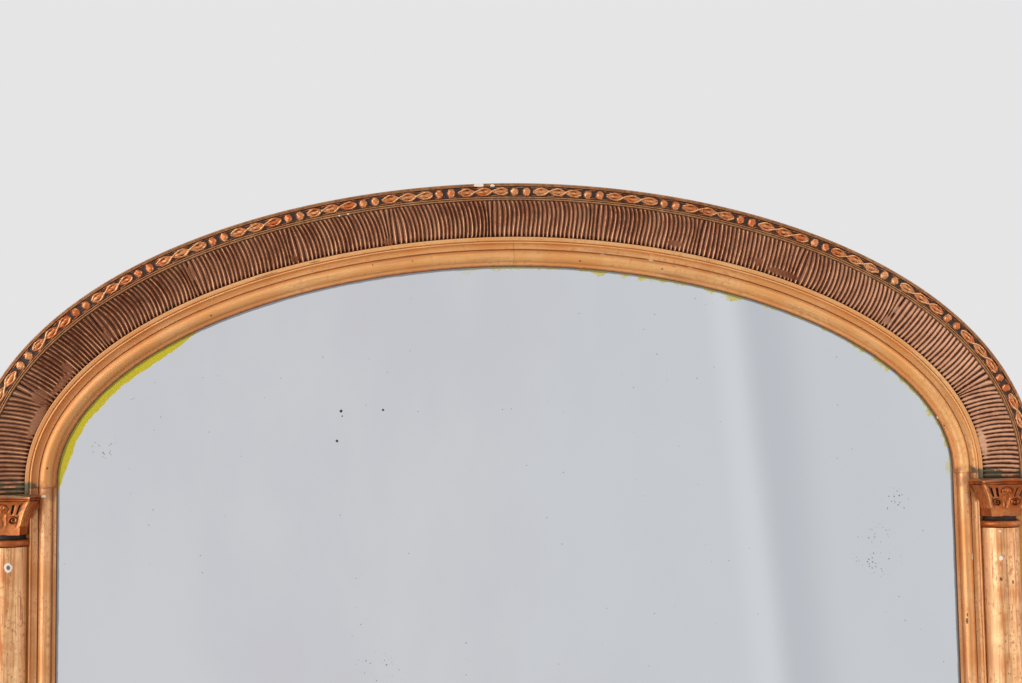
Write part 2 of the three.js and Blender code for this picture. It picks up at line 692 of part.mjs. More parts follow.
/** Bell, abacus, neck and astragal, cut clear of the sight moulding. */
function capitalGeometry() {
  const bellFoot = SHAFT_TOP + ASTRAGAL_HEIGHT + NECK_HEIGHT;
  const bellHead = CAPITAL_TOP - ABACUS_HEIGHT;
  const abacusHalf = COLUMN_RADIUS + ABACUS_OVERHANG;
  const abacusFrontHalf = COLUMN_RADIUS + ABACUS_FRONT_OVERHANG;
  const edge = ABACUS_EDGE;
  const bell = [];
  for (let i = 0; i <= BELL_STEPS; i += 1) {
    const part = (i / BELL_STEPS) ** BELL_EXPONENT;
    bell.push(squareRing(
      THREE.MathUtils.lerp(COLUMN_RADIUS + BELL_FOOT_OVERHANG, abacusHalf - edge, part),
      THREE.MathUtils.lerp(COLUMN_RADIUS - BELL_FOOT_FRONT_SETBACK, abacusFrontHalf - edge, part),
      THREE.MathUtils.lerp(BELL_FOOT_DEPTH, ABACUS_DEPTH - edge, part),
      THREE.MathUtils.lerp(bellFoot, bellHead, i / BELL_STEPS),
    ));
  }
  const abacus = [bellHead, CAPITAL_TOP].map((z) => (
    squareRing(abacusHalf, abacusFrontHalf, ABACUS_DEPTH, z)
  ));
  const neck = [SHAFT_TOP, bellFoot].map((z) => halfRing(COLUMN_RADIUS - NECK_SETBACK, z));
  const round = ASTRAGAL_ROUNDING;
  const astragalRadius = COLUMN_RADIUS + ASTRAGAL_OVERHANG;
  const astragal = [[round, 0], [0, round], [0, ASTRAGAL_HEIGHT - round], [round, ASTRAGAL_HEIGHT]].map(
    ([inset, height]) => halfRing(astragalRadius - inset, SHAFT_TOP + height),
  );
  const whole = joined(loft(abacus), [loft(bell), loft(neck), loft(astragal)]);
  const torusTop = TORUS_CENTRE_FORE + TORUS_RADIUS;
  const clear = [
    box(
      [0, GLASS_Y - torusTop - GLUE_GAP, 0],
      [SIGHT_HALF_WIDTH + TORUS_CENTRE_OUT + TORUS_RADIUS + GLUE_GAP, GLASS_Y, SPRING_HEIGHT],
    ),
    box(
      [0, GLASS_Y - SIGHT_RIDGE_FORE - GLUE_GAP, 0],
      [SIGHT_HALF_WIDTH + COVE_OUT, GLASS_Y, SPRING_HEIGHT],
    ),
  ];
  return cut(whole, clear);
}

/** Two rings and a hollow between them, under the shaft. */
function baseGeometry() {
  const low = PLINTH_HEIGHT;
  const whole = COLUMN_RADIUS + BASE_OVERHANG;
  const shares = [
    [0.92, 0], [1, 0.1], [1, 0.28], [0.9, 0.38], [0.78, 0.46],
    [0.78, 0.64], [0.89, 0.72], [0.89, 0.9], [0.78, 1],
  ];
  return loft(shares.map(([radius, height]) => halfRing(whole * radius, low + BASE_HEIGHT * height)));
}

function plinthGeometry() {
  const chamfer = PLINTH_CHAMFER;
  const half = PLINTH_HALF_WIDTH;
  const shoulder = PLINTH_HEIGHT - chamfer;
  return loft([
    squareRing(half, half, PLINTH_DEPTH, 0),
    squareRing(half, half, PLINTH_DEPTH, shoulder),
    squareRing(half - chamfer, half - chamfer, PLINTH_DEPTH - chamfer, PLINTH_HEIGHT - GLUE_GAP),
  ]);
}

function buildColumns() {
  const shaftFoot = PLINTH_HEIGHT + BASE_HEIGHT + GLUE_GAP;
  const shaft = loft([halfRing(COLUMN_RADIUS, shaftFoot), halfRing(COLUMN_RADIUS, SHAFT_TOP - GLUE_GAP)]);
  const inner = SIGHT_HALF_WIDTH + COVE_OUT;
  const facing = box([inner, FACING_Y, 0], [SIGHT_HALF_WIDTH + CARCASS_OUT, GLASS_Y, CAPITAL_TOP]);
  const capital = capitalGeometry();
  const base = baseGeometry();
  const plinth = plinthGeometry();
  SIDES.forEach(([name, hand]) => {
    add(`facing_${name}`, handed(facing, hand), gilding);
    add(`column_${name}`, handed(shaft, hand), burnished);
    add(`capital_${name}`, handed(capital, hand), copperGilding);
    add(`base_${name}`, handed(base, hand), copperGilding);
    add(`plinth_${name}`, handed(plinth, hand), gilding);
  });
}

// ---- Foot: facing board and moulding between the plinths ----
function footMouldingSection() {
  const shape = new THREE.Shape();
  const depth = FOOT_MOULDING_DEPTH;
  const height = FOOT_MOULDING_HEIGHT;
  shape.moveTo(0, 0);
  shape.lineTo(depth, 0);
  shape.lineTo(depth, height * 0.4);
  shape.quadraticCurveTo(depth, height * 0.62, depth * 0.66, height * 0.66);
  shape.quadraticCurveTo(depth * 0.28, height * 0.72, depth * 0.22, height * 0.9);
  shape.lineTo(depth * 0.22, height);
  shape.lineTo(0, height);
  return shape;
}

function buildFoot() {
  const inner = SIGHT_HALF_WIDTH + COVE_OUT - GLUE_GAP;
  const top = SILL_HEIGHT - SIGHT_WIDTH - GLUE_GAP;
  add('facing_bottom', box([-inner, FACING_Y, 0], [inner, GLASS_Y, top]), gilding);
  const end = COLUMN_X - PLINTH_HALF_WIDTH - GLUE_GAP;
  const moulding = extrude(footMouldingSection(), 2 * end, 1, 4);
  reshape(moulding, (fore, z, x) => [end - x, FACING_Y - fore, z]);
  add('foot_moulding', moulding, gilding);
}

// ---- Ring hangers ----
const RING_RADIUS = RING_WIRE / 2;
const LOOP_BORE = RING_RADIUS + PIVOT_CLEARANCE;
const LOOP_RADIUS = LOOP_BORE + STRAP_THICKNESS;
const PIVOT_Y = CARCASS_BACK_Y + LOOP_RADIUS;
const HANGER_X = SIGHT_HALF_WIDTH + FRAME_WIDTH - HANGER_INSET;
const HANGER_HEIGHT = SPRING_HEIGHT - HANGER_DROP;

/** A strap folded round the ring's bar, drawn from the side with the pivot at the origin. */
function strapGeometry() {
  const shape = new THREE.Shape();
  const meet = Math.PI + Math.acos(LOOP_BORE / LOOP_RADIUS);
  shape.moveTo(-LOOP_RADIUS, -STRAP_LENGTH);
  shape.lineTo(-LOOP_BORE, -STRAP_LENGTH);
  shape.absarc(0, 0, LOOP_RADIUS, meet, 3 * Math.PI, false);
  shape.lineTo(-LOOP_RADIUS, -STRAP_LENGTH);
  shape.holes.push(new THREE.Path().absarc(0, 0, LOOP_BORE, 0, 2 * Math.PI, false));
  const left = HANGER_X - STRAP_WIDTH / 2;
  return reshape(extrude(shape, STRAP_WIDTH, 1, 5), (y, z, x) => [left + x, PIVOT_Y + y, HANGER_HEIGHT + z]);
}

/** A flat closed path in the plane of the ring, hanging from its bar. */
class RingPath extends THREE.Curve {
  constructor() {
    super();
    const half = RING_HALF_WIDTH;
    const corner = RING_CORNER;
    this.path = new THREE.Path();
    this.path.moveTo(0, 0);
    this.path.lineTo(half - corner, 0);
    this.path.absarc(half - corner, -corner, corner, Math.PI / 2, 0, true);
    this.path.lineTo(half, -RING_SHOULDER);
    this.path.absarc(0, -RING_SHOULDER, half, 0, -Math.PI, true);
    this.path.lineTo(-half, -corner);
    this.path.absarc(corner - half, -corner, corner, Math.PI, Math.PI / 2, true);
    this.path.lineTo(0, 0);
  }

  getPoint(t) {
    const point = this.path.getPoint(t);
    return new THREE.Vector3(point.x, 0, point.y);
  }
}

/** The rings are turned about their bars, so each hangs in a group placed at its pivot. */
function buildHangers(screwHoles) {
  const strap = strapGeometry();
  const ring = new THREE.TubeGeometry(new RingPath(), RING_STEPS, RING_RADIUS, RING_SIDES, true);
  SIDES.forEach(([name, hand]) => {
    add(`hanger_strap_${name}`, cut(handed(strap, hand), screwHoles), iron);
    const pivot = new THREE.Group();
    pivot.position.set(hand * HANGER_X, PIVOT_Y, HANGER_HEIGHT);
    mirror.add(pivot);
    add(`hanger_ring_${name}`, ring.clone(), iron, pivot);
  });
}

// ---- Screws of the hangers ----
/** Two screws through each strap, one inside the ring and one below it. */
function screwPlaces() {
  const y = CARCASS_BACK_Y + STRAP_THICKNESS;
  return SIDES.flatMap(([name, hand]) => ['upper', 'lower'].map((level, i) => ({
    name: `hanger_screw_${name}_${level}`,
    place: [hand * HANGER_X, y, HANGER_HEIGHT - (i + 0.5) * SCREW_SPACING],
  })));
}

/** A screw driven forward, its head proud of the strap. */
function screwGeometry() {
  const radius = SCREW_HEAD_DIAMETER / 2;
  const flat = SCREW_FLAT_DIAMETER / 2;
  const outline = [[0, 0], [radius, 0], [flat, SCREW_HEAD_HEIGHT], [0, SCREW_HEAD_HEIGHT]];
  const profile = outline.map(([across, height]) => new THREE.Vector2(across, height));
  const head = new THREE.LatheGeometry(profile, SCREW_SIDES);
  const shank = new THREE.ConeGeometry(SCREW_DIAMETER / 2, SCREW_LENGTH, SCREW_SIDES, 1);
  shank.rotateX(Math.PI).translate(0, (SCREW_HEAD_HEIGHT - SCREW_LENGTH) / 2, 0);
  return joined(head, [shank]);
}

/** The hole of a screw, through the strap and a little past its point. */
function pilotHole([x, y, z]) {
  const radius = SCREW_DIAMETER / 2 + GLUE_GAP;
  const reach = SCREW_LENGTH + PILOT_EXTRA;
  return new THREE.CylinderGeometry(radius, radius, 2 * reach, SCREW_SIDES).translate(x, y, z);
}

function buildScrews(screws) {
  const screw = screwGeometry();
  screws.forEach(({ name, place }) => {
    add(name, screw.clone(), steel).position.set(...place);
  });
}

// ---- Assembly ----
const screws = screwPlaces();
const screwHoles = screws.map(({ place }) => pilotHole(place));

buildCarcass(screwHoles);
buildPlate();
buildBattens();
buildPlanks();
buildSightMoulding();
buildArchMouldings();
buildOrnament();
buildColumns();
buildFoot();
buildHangers(screwHoles);
buildScrews(screws);

export default mirror;
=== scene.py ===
"""Visual model of an arched, gilt overmantel mirror.

The glass sits in a torus moulding. Two half columns carry an arch of reeded cove with a
bead and ribbon edge. The pine carcass, back planks and ring hangers show from behind.

Sizes are millimetres until a mesh is made, and every mesh is in metres in the row frame.
Sections are drawn in two directions: "out", away from the glass edge, and "fore", forward
"relief" is a vertex attribute: 0 in a groove, 1 on an arris. The gilded finishes paint
shade into low relief and highlights onto high relief, over their real dirt and wear.
"""

import logging
import math
import operator
from dataclasses import dataclass
from enum import Enum
from functools import reduce
from typing import Optional, Sequence, Union

import bmesh
import bpy
import numpy as np
from mathutils import Matrix

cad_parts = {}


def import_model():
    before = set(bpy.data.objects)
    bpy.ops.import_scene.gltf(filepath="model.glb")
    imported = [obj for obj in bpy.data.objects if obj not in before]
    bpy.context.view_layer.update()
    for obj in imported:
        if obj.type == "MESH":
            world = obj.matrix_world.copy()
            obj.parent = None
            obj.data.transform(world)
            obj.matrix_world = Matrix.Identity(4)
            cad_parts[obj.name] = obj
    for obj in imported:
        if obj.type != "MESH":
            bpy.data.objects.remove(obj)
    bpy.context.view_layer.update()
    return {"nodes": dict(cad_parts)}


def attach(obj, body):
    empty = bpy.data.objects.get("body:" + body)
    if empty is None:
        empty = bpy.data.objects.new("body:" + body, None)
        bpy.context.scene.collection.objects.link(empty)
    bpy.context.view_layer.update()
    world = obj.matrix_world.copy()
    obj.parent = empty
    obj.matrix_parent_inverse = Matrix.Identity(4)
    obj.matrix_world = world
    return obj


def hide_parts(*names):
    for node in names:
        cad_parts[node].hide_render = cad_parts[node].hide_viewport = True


LOG = logging.getLogger("overmantel")
MM = 0.001
BODY = "frame"
SIDES = (("left", -1.0), ("right", 1.0))
CREASE = 32.0  # degrees above which an edge stays sharp
MERGE = 1e-6  # metres within which two corners are one
JOINT = 0.15  # half the open joint between two lengths of moulding
PRESSED_JOINT = 0.25  # the same between pressed strips, and between lengths of ornament
SPRINGER_DROP = 11.7  # how far cove, reeding and ornament run down past the spring line
LENGTHS = 3  # lengths in which the cove and the ornament are made
WAVES = ((171.0, 0.5), (67.0, 0.3), (23.0, 0.2))  # (length, share) of the unevenness of handwork

Array = np.ndarray
Colour = tuple[float, float, float]  # 0 to 255, in the sRGB curve
Mark = tuple[float, float, float, float]  # along, across, and half its size each way


# ---------------------------------------------------------------- the arch line
@dataclass(frozen=True)
class Arch:
    """The sight edge: straight legs under a superellipse, with its outward normals."""

    half_width: float = 476.0
    rise: float = 222.0
    fullness: float = 1.95
    spring: float = 1010.0
    sill: float = 112.0
    glass_y: float = 2.5
    samples: int = 7168

    def curve(self, angle: Array) -> tuple[Array, Array, Array, Array]:
        """Points and normals: |x/a|^n + (z/b)^n = 1, the normal being its gradient.

        Args:
            angle: 0 at the left spring, pi at the right one.

        Returns:
            x, z above the spring line, and the normal's x and z.
        """
        across, up = np.cos(angle), np.maximum(np.sin(angle), 0.0)
        power = 2.0 / self.fullness
        x = -self.half_width * np.sign(across) * np.abs(across) ** power
        z = self.rise * up**power
        lower = self.fullness - 1
        slope_x = np.sign(x) * (np.abs(x) / self.half_width) ** lower / self.half_width
        slope_z = (z / self.rise) ** lower / self.rise
        size = np.hypot(slope_x, slope_z)
        return x, z, slope_x / size, slope_z / size


ARCH = Arch()


class Track:
    """Measures lengths along a line parallel to the arch."""

    def __init__(self, out: float) -> None:
        """Sums the chords of the offset line.

        Args:
            out: distance of the line from the glass edge.
        """
        self.angles = np.pi * np.arange(ARCH.samples + 1) / ARCH.samples
        x, z, nx, nz = ARCH.curve(self.angles)
        steps = np.hypot(np.diff(x + out * nx), np.diff(z + out * nz))
        self.lengths = np.concatenate([[0.0], np.cumsum(steps)])
        self.length = float(self.lengths[-1])

    def angle_at(self, along: Array) -> Array:
        """The curve's angle at a length."""
        return np.interp(along, self.lengths, self.angles)

    def along_at(self, angle: Array) -> Array:
        """The length at an angle of the curve."""
        return np.interp(angle, self.angles, self.lengths)

    def place(self, along: Array, out: Array, fore: Array) -> Array:
        """World points, in millimetres; past its ends the track runs down the legs.

        Args:
            along: length along the track.
            out: distance from the glass edge.
            fore: distance in front of the glass.

        Returns:
            An array of the broadcast shape with x, y, z last.
        """
        along, out, fore = np.broadcast_arrays(along, out, fore)
        x, z, nx, nz = ARCH.curve(self.angle_at(along))
        before, after = along < 0.0, along > self.length
        leg = np.where(before, along, self.length - along)
        z = np.where(before | after, leg, z)
        x = x + out * np.where(before, -1.0, np.where(after, 1.0, nx))
        z = z + out * np.where(before | after, 0.0, nz)
        return np.stack([x, ARCH.glass_y - fore, ARCH.spring + z], axis=-1)


REED_TRACK = Track(50.0)
ORNAMENT_TRACK = Track(78.0)


def waver(along: Array, size: float, seed: float) -> Array:
    """Slow unevenness of handwork: three sine waves of unlike lengths, added."""
    return size * sum(share * np.sin(along / length * 2 * np.pi + seed * (i + 1.7))
                      for i, (length, share) in enumerate(WAVES))


def arc(centre: Sequence[float], radius: float, start: float, end: float, count: int) -> Array:
    """Points of a circle's arc, its angles in degrees."""
    turn = np.radians(np.linspace(start, end, count))
    return np.stack([centre[0] + radius * np.cos(turn), centre[1] + radius * np.sin(turn)], 1)


def parabola(a: Sequence[float], b: Sequence[float], c: Sequence[float], count: int = 12) -> Array:
    """Points from a to c, drawn towards b: (1 - t)^2 a + 2 t (1 - t) b + t^2 c."""
    t = np.linspace(0.0, 1.0, count)[:, None]
    return (1 - t) ** 2 * np.array(a) + 2 * t * (1 - t) * np.array(b) + t**2 * np.array(c)


def smooth(low: float, high: float, value: Array) -> Array:
    """Smoothstep: 3t^2 - 2t^3 between two limits."""
    t = np.clip((value - low) / (high - low), 0.0, 1.0)
    return t * t * (3.0 - 2.0 * t)


def hump(away: Array, reach: float, power: int = 2) -> Array:
    """A soft rise of 1 about zero: e to the power of -(away / reach)^power."""
    return np.exp(-((away / reach) ** power))


def spans(ends: Sequence[float], gap: float) -> list[tuple[float, float]]:
    """Cuts a line into lengths.

    Args:
        ends: where the lengths meet, with the line's own two ends.
        gap: how far each length stops short of its neighbour.

    Returns:
        The start and end of each length.
    """
    last = len(ends) - 2
    return [(ends[i] + (gap if i > 0 else 0.0), ends[i + 1] - (gap if i < last else 0.0))
            for i in range(last + 1)]


def backed(top: Array, under: Union[float, Array]) -> Array:
    """A surface's columns with the two columns of its underside after them."""
    return np.concatenate([top, np.broadcast_to(under, (len(top), 2))], axis=1)


# ---------------------------------------------------------------- meshes
def grid_quads(rows: int, columns: int, closed_rows: bool, closed_columns: bool) -> Array:
    """Quads that join neighbours in a grid of points.

    Args:
        rows: points along the path.
        columns: points round the section.
        closed_rows: the last row joins the first.
        closed_columns: the last column joins the first.

    Returns:
        An array of four indices for each face.
    """
    row = np.arange(rows if closed_rows else rows - 1)[:, None]
    column = np.arange(columns if closed_columns else columns - 1)[None, :]
    next_row, next_column = (row + 1) % rows, (column + 1) % columns
    corners = [row * columns + column, row * columns + next_column,
               next_row * columns + next_column, next_row * columns + column]
    return np.stack(corners, axis=-1).reshape(-1, 4)


@dataclass
class Shell:
    """Points and faces of a closed surface, with its relief and a map in metres."""

    points: Array
    quads: Array
    caps: list[list[int]]
    relief: Array
    chart: Array

    def __add__(self, other: "Shell") -> "Shell":
        """Both shells as one."""
        shift = len(self.points)
        return Shell(
            np.concatenate([self.points, other.points]),
            np.concatenate([self.quads, other.quads + shift]),
            self.caps + [[i + shift for i in cap] for cap in other.caps],
            np.concatenate([self.relief, other.relief]),
            np.concatenate([self.chart, other.chart]),
        )


def swept(grid: Array, relief: Array, chart: Array, closed_path: bool = False) -> Shell:
    """Closed section loops joined along a path, with a face over each end.

    Args:
        grid: points as (rows along the path, columns round the section, 3), in millimetres.
        relief: relief of each point, broadcast over the grid.
        chart: (along, across) of each point in millimetres.
        closed_path: the path returns to its start, so there are no ends.

    Returns:
        The shell.
    """
    rows, columns = grid.shape[:2]
    quads = grid_quads(rows, columns, closed_path, True)
    last = (rows - 1) * columns
    ends = [list(range(columns)), list(range(last + columns - 1, last - 1, -1))]
    caps = [] if closed_path else ends
    relief = np.broadcast_to(relief, (rows, columns)).reshape(-1)
    return Shell(grid.reshape(-1, 3), quads, caps, relief, chart.reshape(-1, 2))


def stacked(shape: tuple[int, ...], *parts: Array) -> Array:
    """Measures spread over a grid and set side by side as its last axis."""
    return np.stack([np.broadcast_to(part, shape) for part in parts], axis=-1)


def volume_of(mesh: bpy.types.Mesh) -> float:
    """Signed volume: the sum over triangles of a . (b x c) / 6.

    Args:
        mesh: a closed mesh.

    Returns:
        The volume, below zero where the faces point inwards.
    """
    mesh.calc_loop_triangles()
    points = np.empty(len(mesh.vertices) * 3)
    mesh.vertices.foreach_get("co", points)
    corners = np.empty(len(mesh.loop_triangles) * 3, dtype=np.int64)
    mesh.loop_triangles.foreach_get("vertices", corners)
    a, b, c = np.moveaxis(points.reshape(-1, 3)[corners.reshape(-1, 3)], 1, 0)
    return float(np.einsum("ij,ij->", a, np.cross(b, c)) / 6.0)


def set_relief(mesh: bpy.types.Mesh, relief: Array) -> None:
    """Keeps the relief as a vertex attribute."""
    kept = mesh.attributes.new("relief", "FLOAT", "POINT")
    kept.data.foreach_set("value", relief.astype(np.float32))


def placed(name: str, data: bpy.types.ID) -> bpy.types.Object:
    """A new object in the scene."""
    thing = bpy.data.objects.new(name, data)
    bpy.context.scene.collection.objects.link(thing)
    return thing


def make_object(name: str, shell: Shell, crease: float = CREASE) -> bpy.types.Object:
    """Puts a shell into a new object, faces outwards, smooth but for its creases.

    Args:
        name: name of the object.
        shell: its surface in millimetres.
        crease: angle in degrees above which an edge stays sharp.

    Returns:
        The object, linked to the scene.
    """
    mesh = bpy.data.meshes.new(name)
    mesh.from_pydata((shell.points * MM).tolist(), [], shell.quads.tolist() + shell.caps)
    set_relief(mesh, shell.relief)
    corners = np.empty(len(mesh.loops), dtype=np.int64)
    mesh.loops.foreach_get("vertex_index", corners)
    chart = (shell.chart * MM)[corners].astype(np.float32)
    mesh.uv_layers.new(name="chart").data.foreach_set("uv", chart.ravel())
    if volume_of(mesh) < 0.0:
        mesh.flip_normals()
    mesh.shade_smooth()
    mesh.set_sharp_from_angle(angle=math.radians(crease))
    return placed(name, mesh)


def softened(node: bpy.types.Object, name: str, width: float) -> bpy.types.Object:
    """A copy of a carcass solid with its corners merged and its arrises eased by a bevel.

    Args:
        node: the solid.
        name: name of the copy.
        width: width of the bevel in millimetres.

    Returns:
        The new object.
    """
    mesh = node.data.copy()
    mesh.name = name
    work = bmesh.new()
    work.from_mesh(mesh)
    bmesh.ops.remove_doubles(work, verts=work.verts, dist=MERGE)
    bmesh.ops.dissolve_limit(work, angle_limit=math.radians(1.0), verts=work.verts, edges=work.edges)
    work.to_mesh(mesh)
    work.free()
    mesh.materials.clear()
    old_shading = ("custom_normal", "sharp_face")
    for attribute in [a.name for a in mesh.attributes if a.name in old_shading]:
        mesh.attributes.remove(mesh.attributes[attribute])
    set_relief(mesh, np.full(len(mesh.vertices), 0.5))
    mesh.shade_smooth()
    mesh.set_sharp_from_angle(angle=math.radians(CREASE))
    piece = placed(name, mesh)
    bevel = piece.modifiers.new("eased", "BEVEL")
    bevel.width = width * MM
    bevel.segments = 2
    bevel.limit_method = "ANGLE"
    bevel.angle_limit = math.radians(40.0)
    bevel.harden_normals = True
    return piece


# ---------------------------------------------------------------- shader maths
Number = Union[float, "Value"]


class Value:
    """A socket's number, on which Python arithmetic adds Math nodes."""

    def __init__(self, shader: "Shader", socket: bpy.types.NodeSocket) -> None:
        """Wraps a socket of a shader."""
        self.shader = shader
        self.socket = socket

    def _math(self, operation: str, first: Number, second: Number, clamp: bool = False) -> "Value":
        """One Math node on two numbers."""
        settings = {"operation": operation, "use_clamp": clamp}
        node = self.shader.node("ShaderNodeMath", settings, {0: first, 1: second})
        return Value(self.shader, node.outputs[0])

    def __add__(self, other: Number) -> "Value":
        """self + other."""
        return self._math("ADD", self, other)

    __radd__ = __add__

    def __sub__(self, other: Number) -> "Value":
        """self - other."""
        return self._math("SUBTRACT", self, other)

    def __rsub__(self, other: Number) -> "Value":
        """other - self."""
        return self._math("SUBTRACT", other, self)

    def __mul__(self, other: Number) -> "Value":
        """self * other."""
        return self._math("MULTIPLY", self, other)

    __rmul__ = __mul__

    def __truediv__(self, other: Number) -> "Value":
        """self / other."""
        return self._math("DIVIDE", self, other)

    def __rtruediv__(self, other: Number) -> "Value":
        """other / self."""
        return self._math("DIVIDE", other, self)

    def __pow__(self, other: Number) -> "Value":
        """self ** other."""
        return self._math("POWER", self, other)

    def __abs__(self) -> "Value":
        """abs(self)."""
        return self._math("ABSOLUTE", self, 0.0)

    def at_least(self, other: Number) -> "Value":
        """The larger of the two."""
        return self._math("MAXIMUM", self, other)

    def clamped(self) -> "Value":
        """self kept within 0 and 1."""
        return self._math("ADD", self, 0.0, clamp=True)

    def ramp(self, low: Number, high: Number) -> "Value":
        """Smoothstep from 0 at low to 1 at high; low may be the larger."""
        node = self.shader.node("ShaderNodeMapRange", {"interpolation_type": "SMOOTHSTEP"},
                                {0: self, 1: low, 2: high, 3: 0.0, 4: 1.0})
        return Value(self.shader, node.outputs[0])


Link = Union[float, Value, bpy.types.NodeSocket, Sequence[float]]


def linear(colour: Colour) -> tuple[float, float, float, float]:
    """A colour of 0 to 255 in the sRGB curve as linear light."""
    parts = [c / 255.0 for c in colour]
    light = [p / 12.92 if p <= 0.04045 else ((p + 0.055) / 1.055) ** 2.4 for p in parts]
    return (light[0], light[1], light[2], 1.0)


class Shader:
    """Builds the nodes of a material, or of the world."""

    def __init__(self, owner: Union[bpy.types.Material, bpy.types.World]) -> None:
        """Empties the owner's nodes.

        Args:
            owner: what the nodes belong to.
        """
        self.owner = owner
        owner.use_nodes = True
        self.tree = owner.node_tree
        self.tree.nodes.clear()
        self._turned: Optional[bpy.types.NodeSocket] = None

    def lean(self, degrees: float) -> None:
        """Turns the coordinates, so that up in the pattern leans to +X on the object."""
        turn = {"Vector": self.coordinates(), "Angle": -math.radians(degrees)}
        node = self.node("ShaderNodeVectorRotate", {"rotation_type": "Y_AXIS"}, turn)
        self._turned = node.outputs[0]

    def node(self, kind: str, settings: dict, inputs: dict[Union[int, str], Link]) -> bpy.types.Node:
        """Adds a node.

        Args:
            kind: Blender's type name.
            settings: attributes, set before the sockets.
            inputs: numbers, colours, vectors or links, by socket name or index.

        Returns:
            The node.
        """
        node = self.tree.nodes.new(kind)
        for key, setting in settings.items():
            setattr(node, key, setting)
        for key, link in inputs.items():
            if isinstance(link, Value):
                link = link.socket
            if isinstance(link, bpy.types.NodeSocket):
                self.tree.links.new(link, node.inputs[key])
            else:
                node.inputs[key].default_value = link
        return node

    def coordinates(self, charted: bool = False) -> bpy.types.NodeSocket:
        """Coordinates in metres.

        Args:
            charted: the piece's own chart, and not the object's coordinates.

        Returns:
            The vector's socket.
        """
        if charted:
            return self.node("ShaderNodeUVMap", {"uv_map": "chart"}, {}).outputs[0]
        if self._turned is not None:
            return self._turned
        return self.node("ShaderNodeTexCoord", {}, {}).outputs["Object"]

    def axis(self, index: int, charted: bool = False) -> Value:
        """One of the coordinates: 0 to 2 for x, y and z, or on a chart 0 along and 1 across."""
        parts = self.node("ShaderNodeSeparateXYZ", {}, {0: self.coordinates(charted)})
        return Value(self, parts.outputs[index])

    def attribute(self, name: str) -> Value:
        """A vertex attribute."""
        node = self.node("ShaderNodeAttribute", {"attribute_name": name}, {})
        return Value(self, node.outputs["Fac"])

    def mapped(self, scale: Union[float, Sequence[float]], shift: float = 0.0,
               charted: bool = False) -> bpy.types.NodeSocket:
        """Coordinates stretched by a Mapping node.

        Args:
            scale: how many times longer they become, alike or on each axis.
            shift: moves the pattern, so that two of them differ.
            charted: the chart is stretched, and not the object's coordinates.

        Returns:
            The vector's socket.
        """
        sizes = (scale, scale, scale) if isinstance(scale, float) else scale
        inputs = {0: self.coordinates(charted), 1: (shift, shift * 0.7, shift * 1.3), 3: sizes}
        return self.node("ShaderNodeMapping", {}, inputs).outputs[0]

    def noise(self, scale: Union[float, Sequence[float]], detail: float = 3.0, shift: float = 0.0,
              charted: bool = False) -> Value:
        """Fractal noise about 0.5.

        Args:
            scale: waves per metre, alike or on each axis.
            detail: finer waves added.
            shift: moves the pattern.
            charted: it follows the chart.

        Returns:
            The noise, 0 to 1.
        """
        inputs = {"Vector": self.mapped(scale, shift, charted), "Scale": 1.0, "Detail": detail,
                  "Roughness": 0.55}
        node = self.node("ShaderNodeTexNoise", {"noise_dimensions": "3D"}, inputs)
        return Value(self, node.outputs[0])

    def cells(self, scale: Union[float, Sequence[float]], shift: float,
              charted: bool = False) -> Value:
        """Distance to the nearest of scattered points, in cells."""
        inputs = {"Vector": self.mapped(scale, shift, charted), "Scale": 1.0}
        node = self.node("ShaderNodeTexVoronoi", {"feature": "F1"}, inputs)
        return Value(self, node.outputs["Distance"])

    def mix(self, factor: Link, first: Link, second: Link) -> bpy.types.NodeSocket:
        """A colour between two."""
        node = self.node("ShaderNodeMix", {"data_type": "RGBA"}, {0: factor, 6: first, 7: second})
        return node.outputs[2]

    def spots(self, places: Sequence[Mark], ragged: Value) -> Value:
        """Ragged round marks on the chart.

        Args:
            places: the marks, in millimetres.
            ragged: noise that frays their rims.

        Returns:
            1 on the marks.
        """
        u, v = self.axis(0, charted=True), self.axis(1, charted=True)
        total: Optional[Value] = None
        for along, across, half_along, half_across in places:
            du = (u - along * MM) / (half_along * MM)
            dv = (v - across * MM) / (half_across * MM)
            mark = (du * du + dv * dv + (ragged - 0.5) * 2.4).ramp(1.15, 0.85)
            total = mark if total is None else total.at_least(mark)
        return total

    def bump(self, height: Value, depth: float) -> bpy.types.NodeSocket:
        """A normal from a height, with the depth in millimetres."""
        inputs = {"Strength": 1.0, "Distance": depth * MM, "Height": height}
        return self.node("ShaderNodeBump", {}, inputs).outputs[0]

    def finish(self, inputs: dict[Union[int, str], Link],
               kind: str = "ShaderNodeBsdfPrincipled") -> bpy.types.Material:
        """Ends in a surface.

        Args:
            inputs: the sockets of its shader.
            kind: the shader's type.

        Returns:
            The material.
        """
        surface = self.node(kind, {}, inputs)
        self.node("ShaderNodeOutputMaterial", {}, {"Surface": surface.outputs[0]})
        return self.owner


# ---------------------------------------------------------------- finishes
CRUST_BAND = ((1.019, 0.999), (0.9935, 0.997))  # heights in metres between which crust lies
CRUST_EDGE = (0.488, 0.500)  # half widths at which it begins
CRUST_CORE = (0.538, 0.512)  # and at which it is full
JOINT_BAND = ((0.984, 0.999), (1.016, 1.000))  # heights between which the joint is dirty
# the bright band down each column is polish and a painted highlight
POLISH_AND_HIGHLIGHT_BAND = (0.0885, 0.0735)  # way round a column over which its polish begins
LEFT_RUBBED = (-0.10, -0.48)  # x over which the rubbing of the left side grows
LEFT_HIGHLIT_AND_WORN, RIGHT_HIGHLIT_AND_WORN = (-0.46, -0.56), (0.30, 0.53)  # x over which the reeding pales


@dataclass(frozen=True)
class Grain:
    """What the layers of one gilded finish share: its shader, its relief and four noises."""

    shader: Shader
    relief: Value
    patches: Value
    brushed: Value
    mottle: Value
    fine: Value


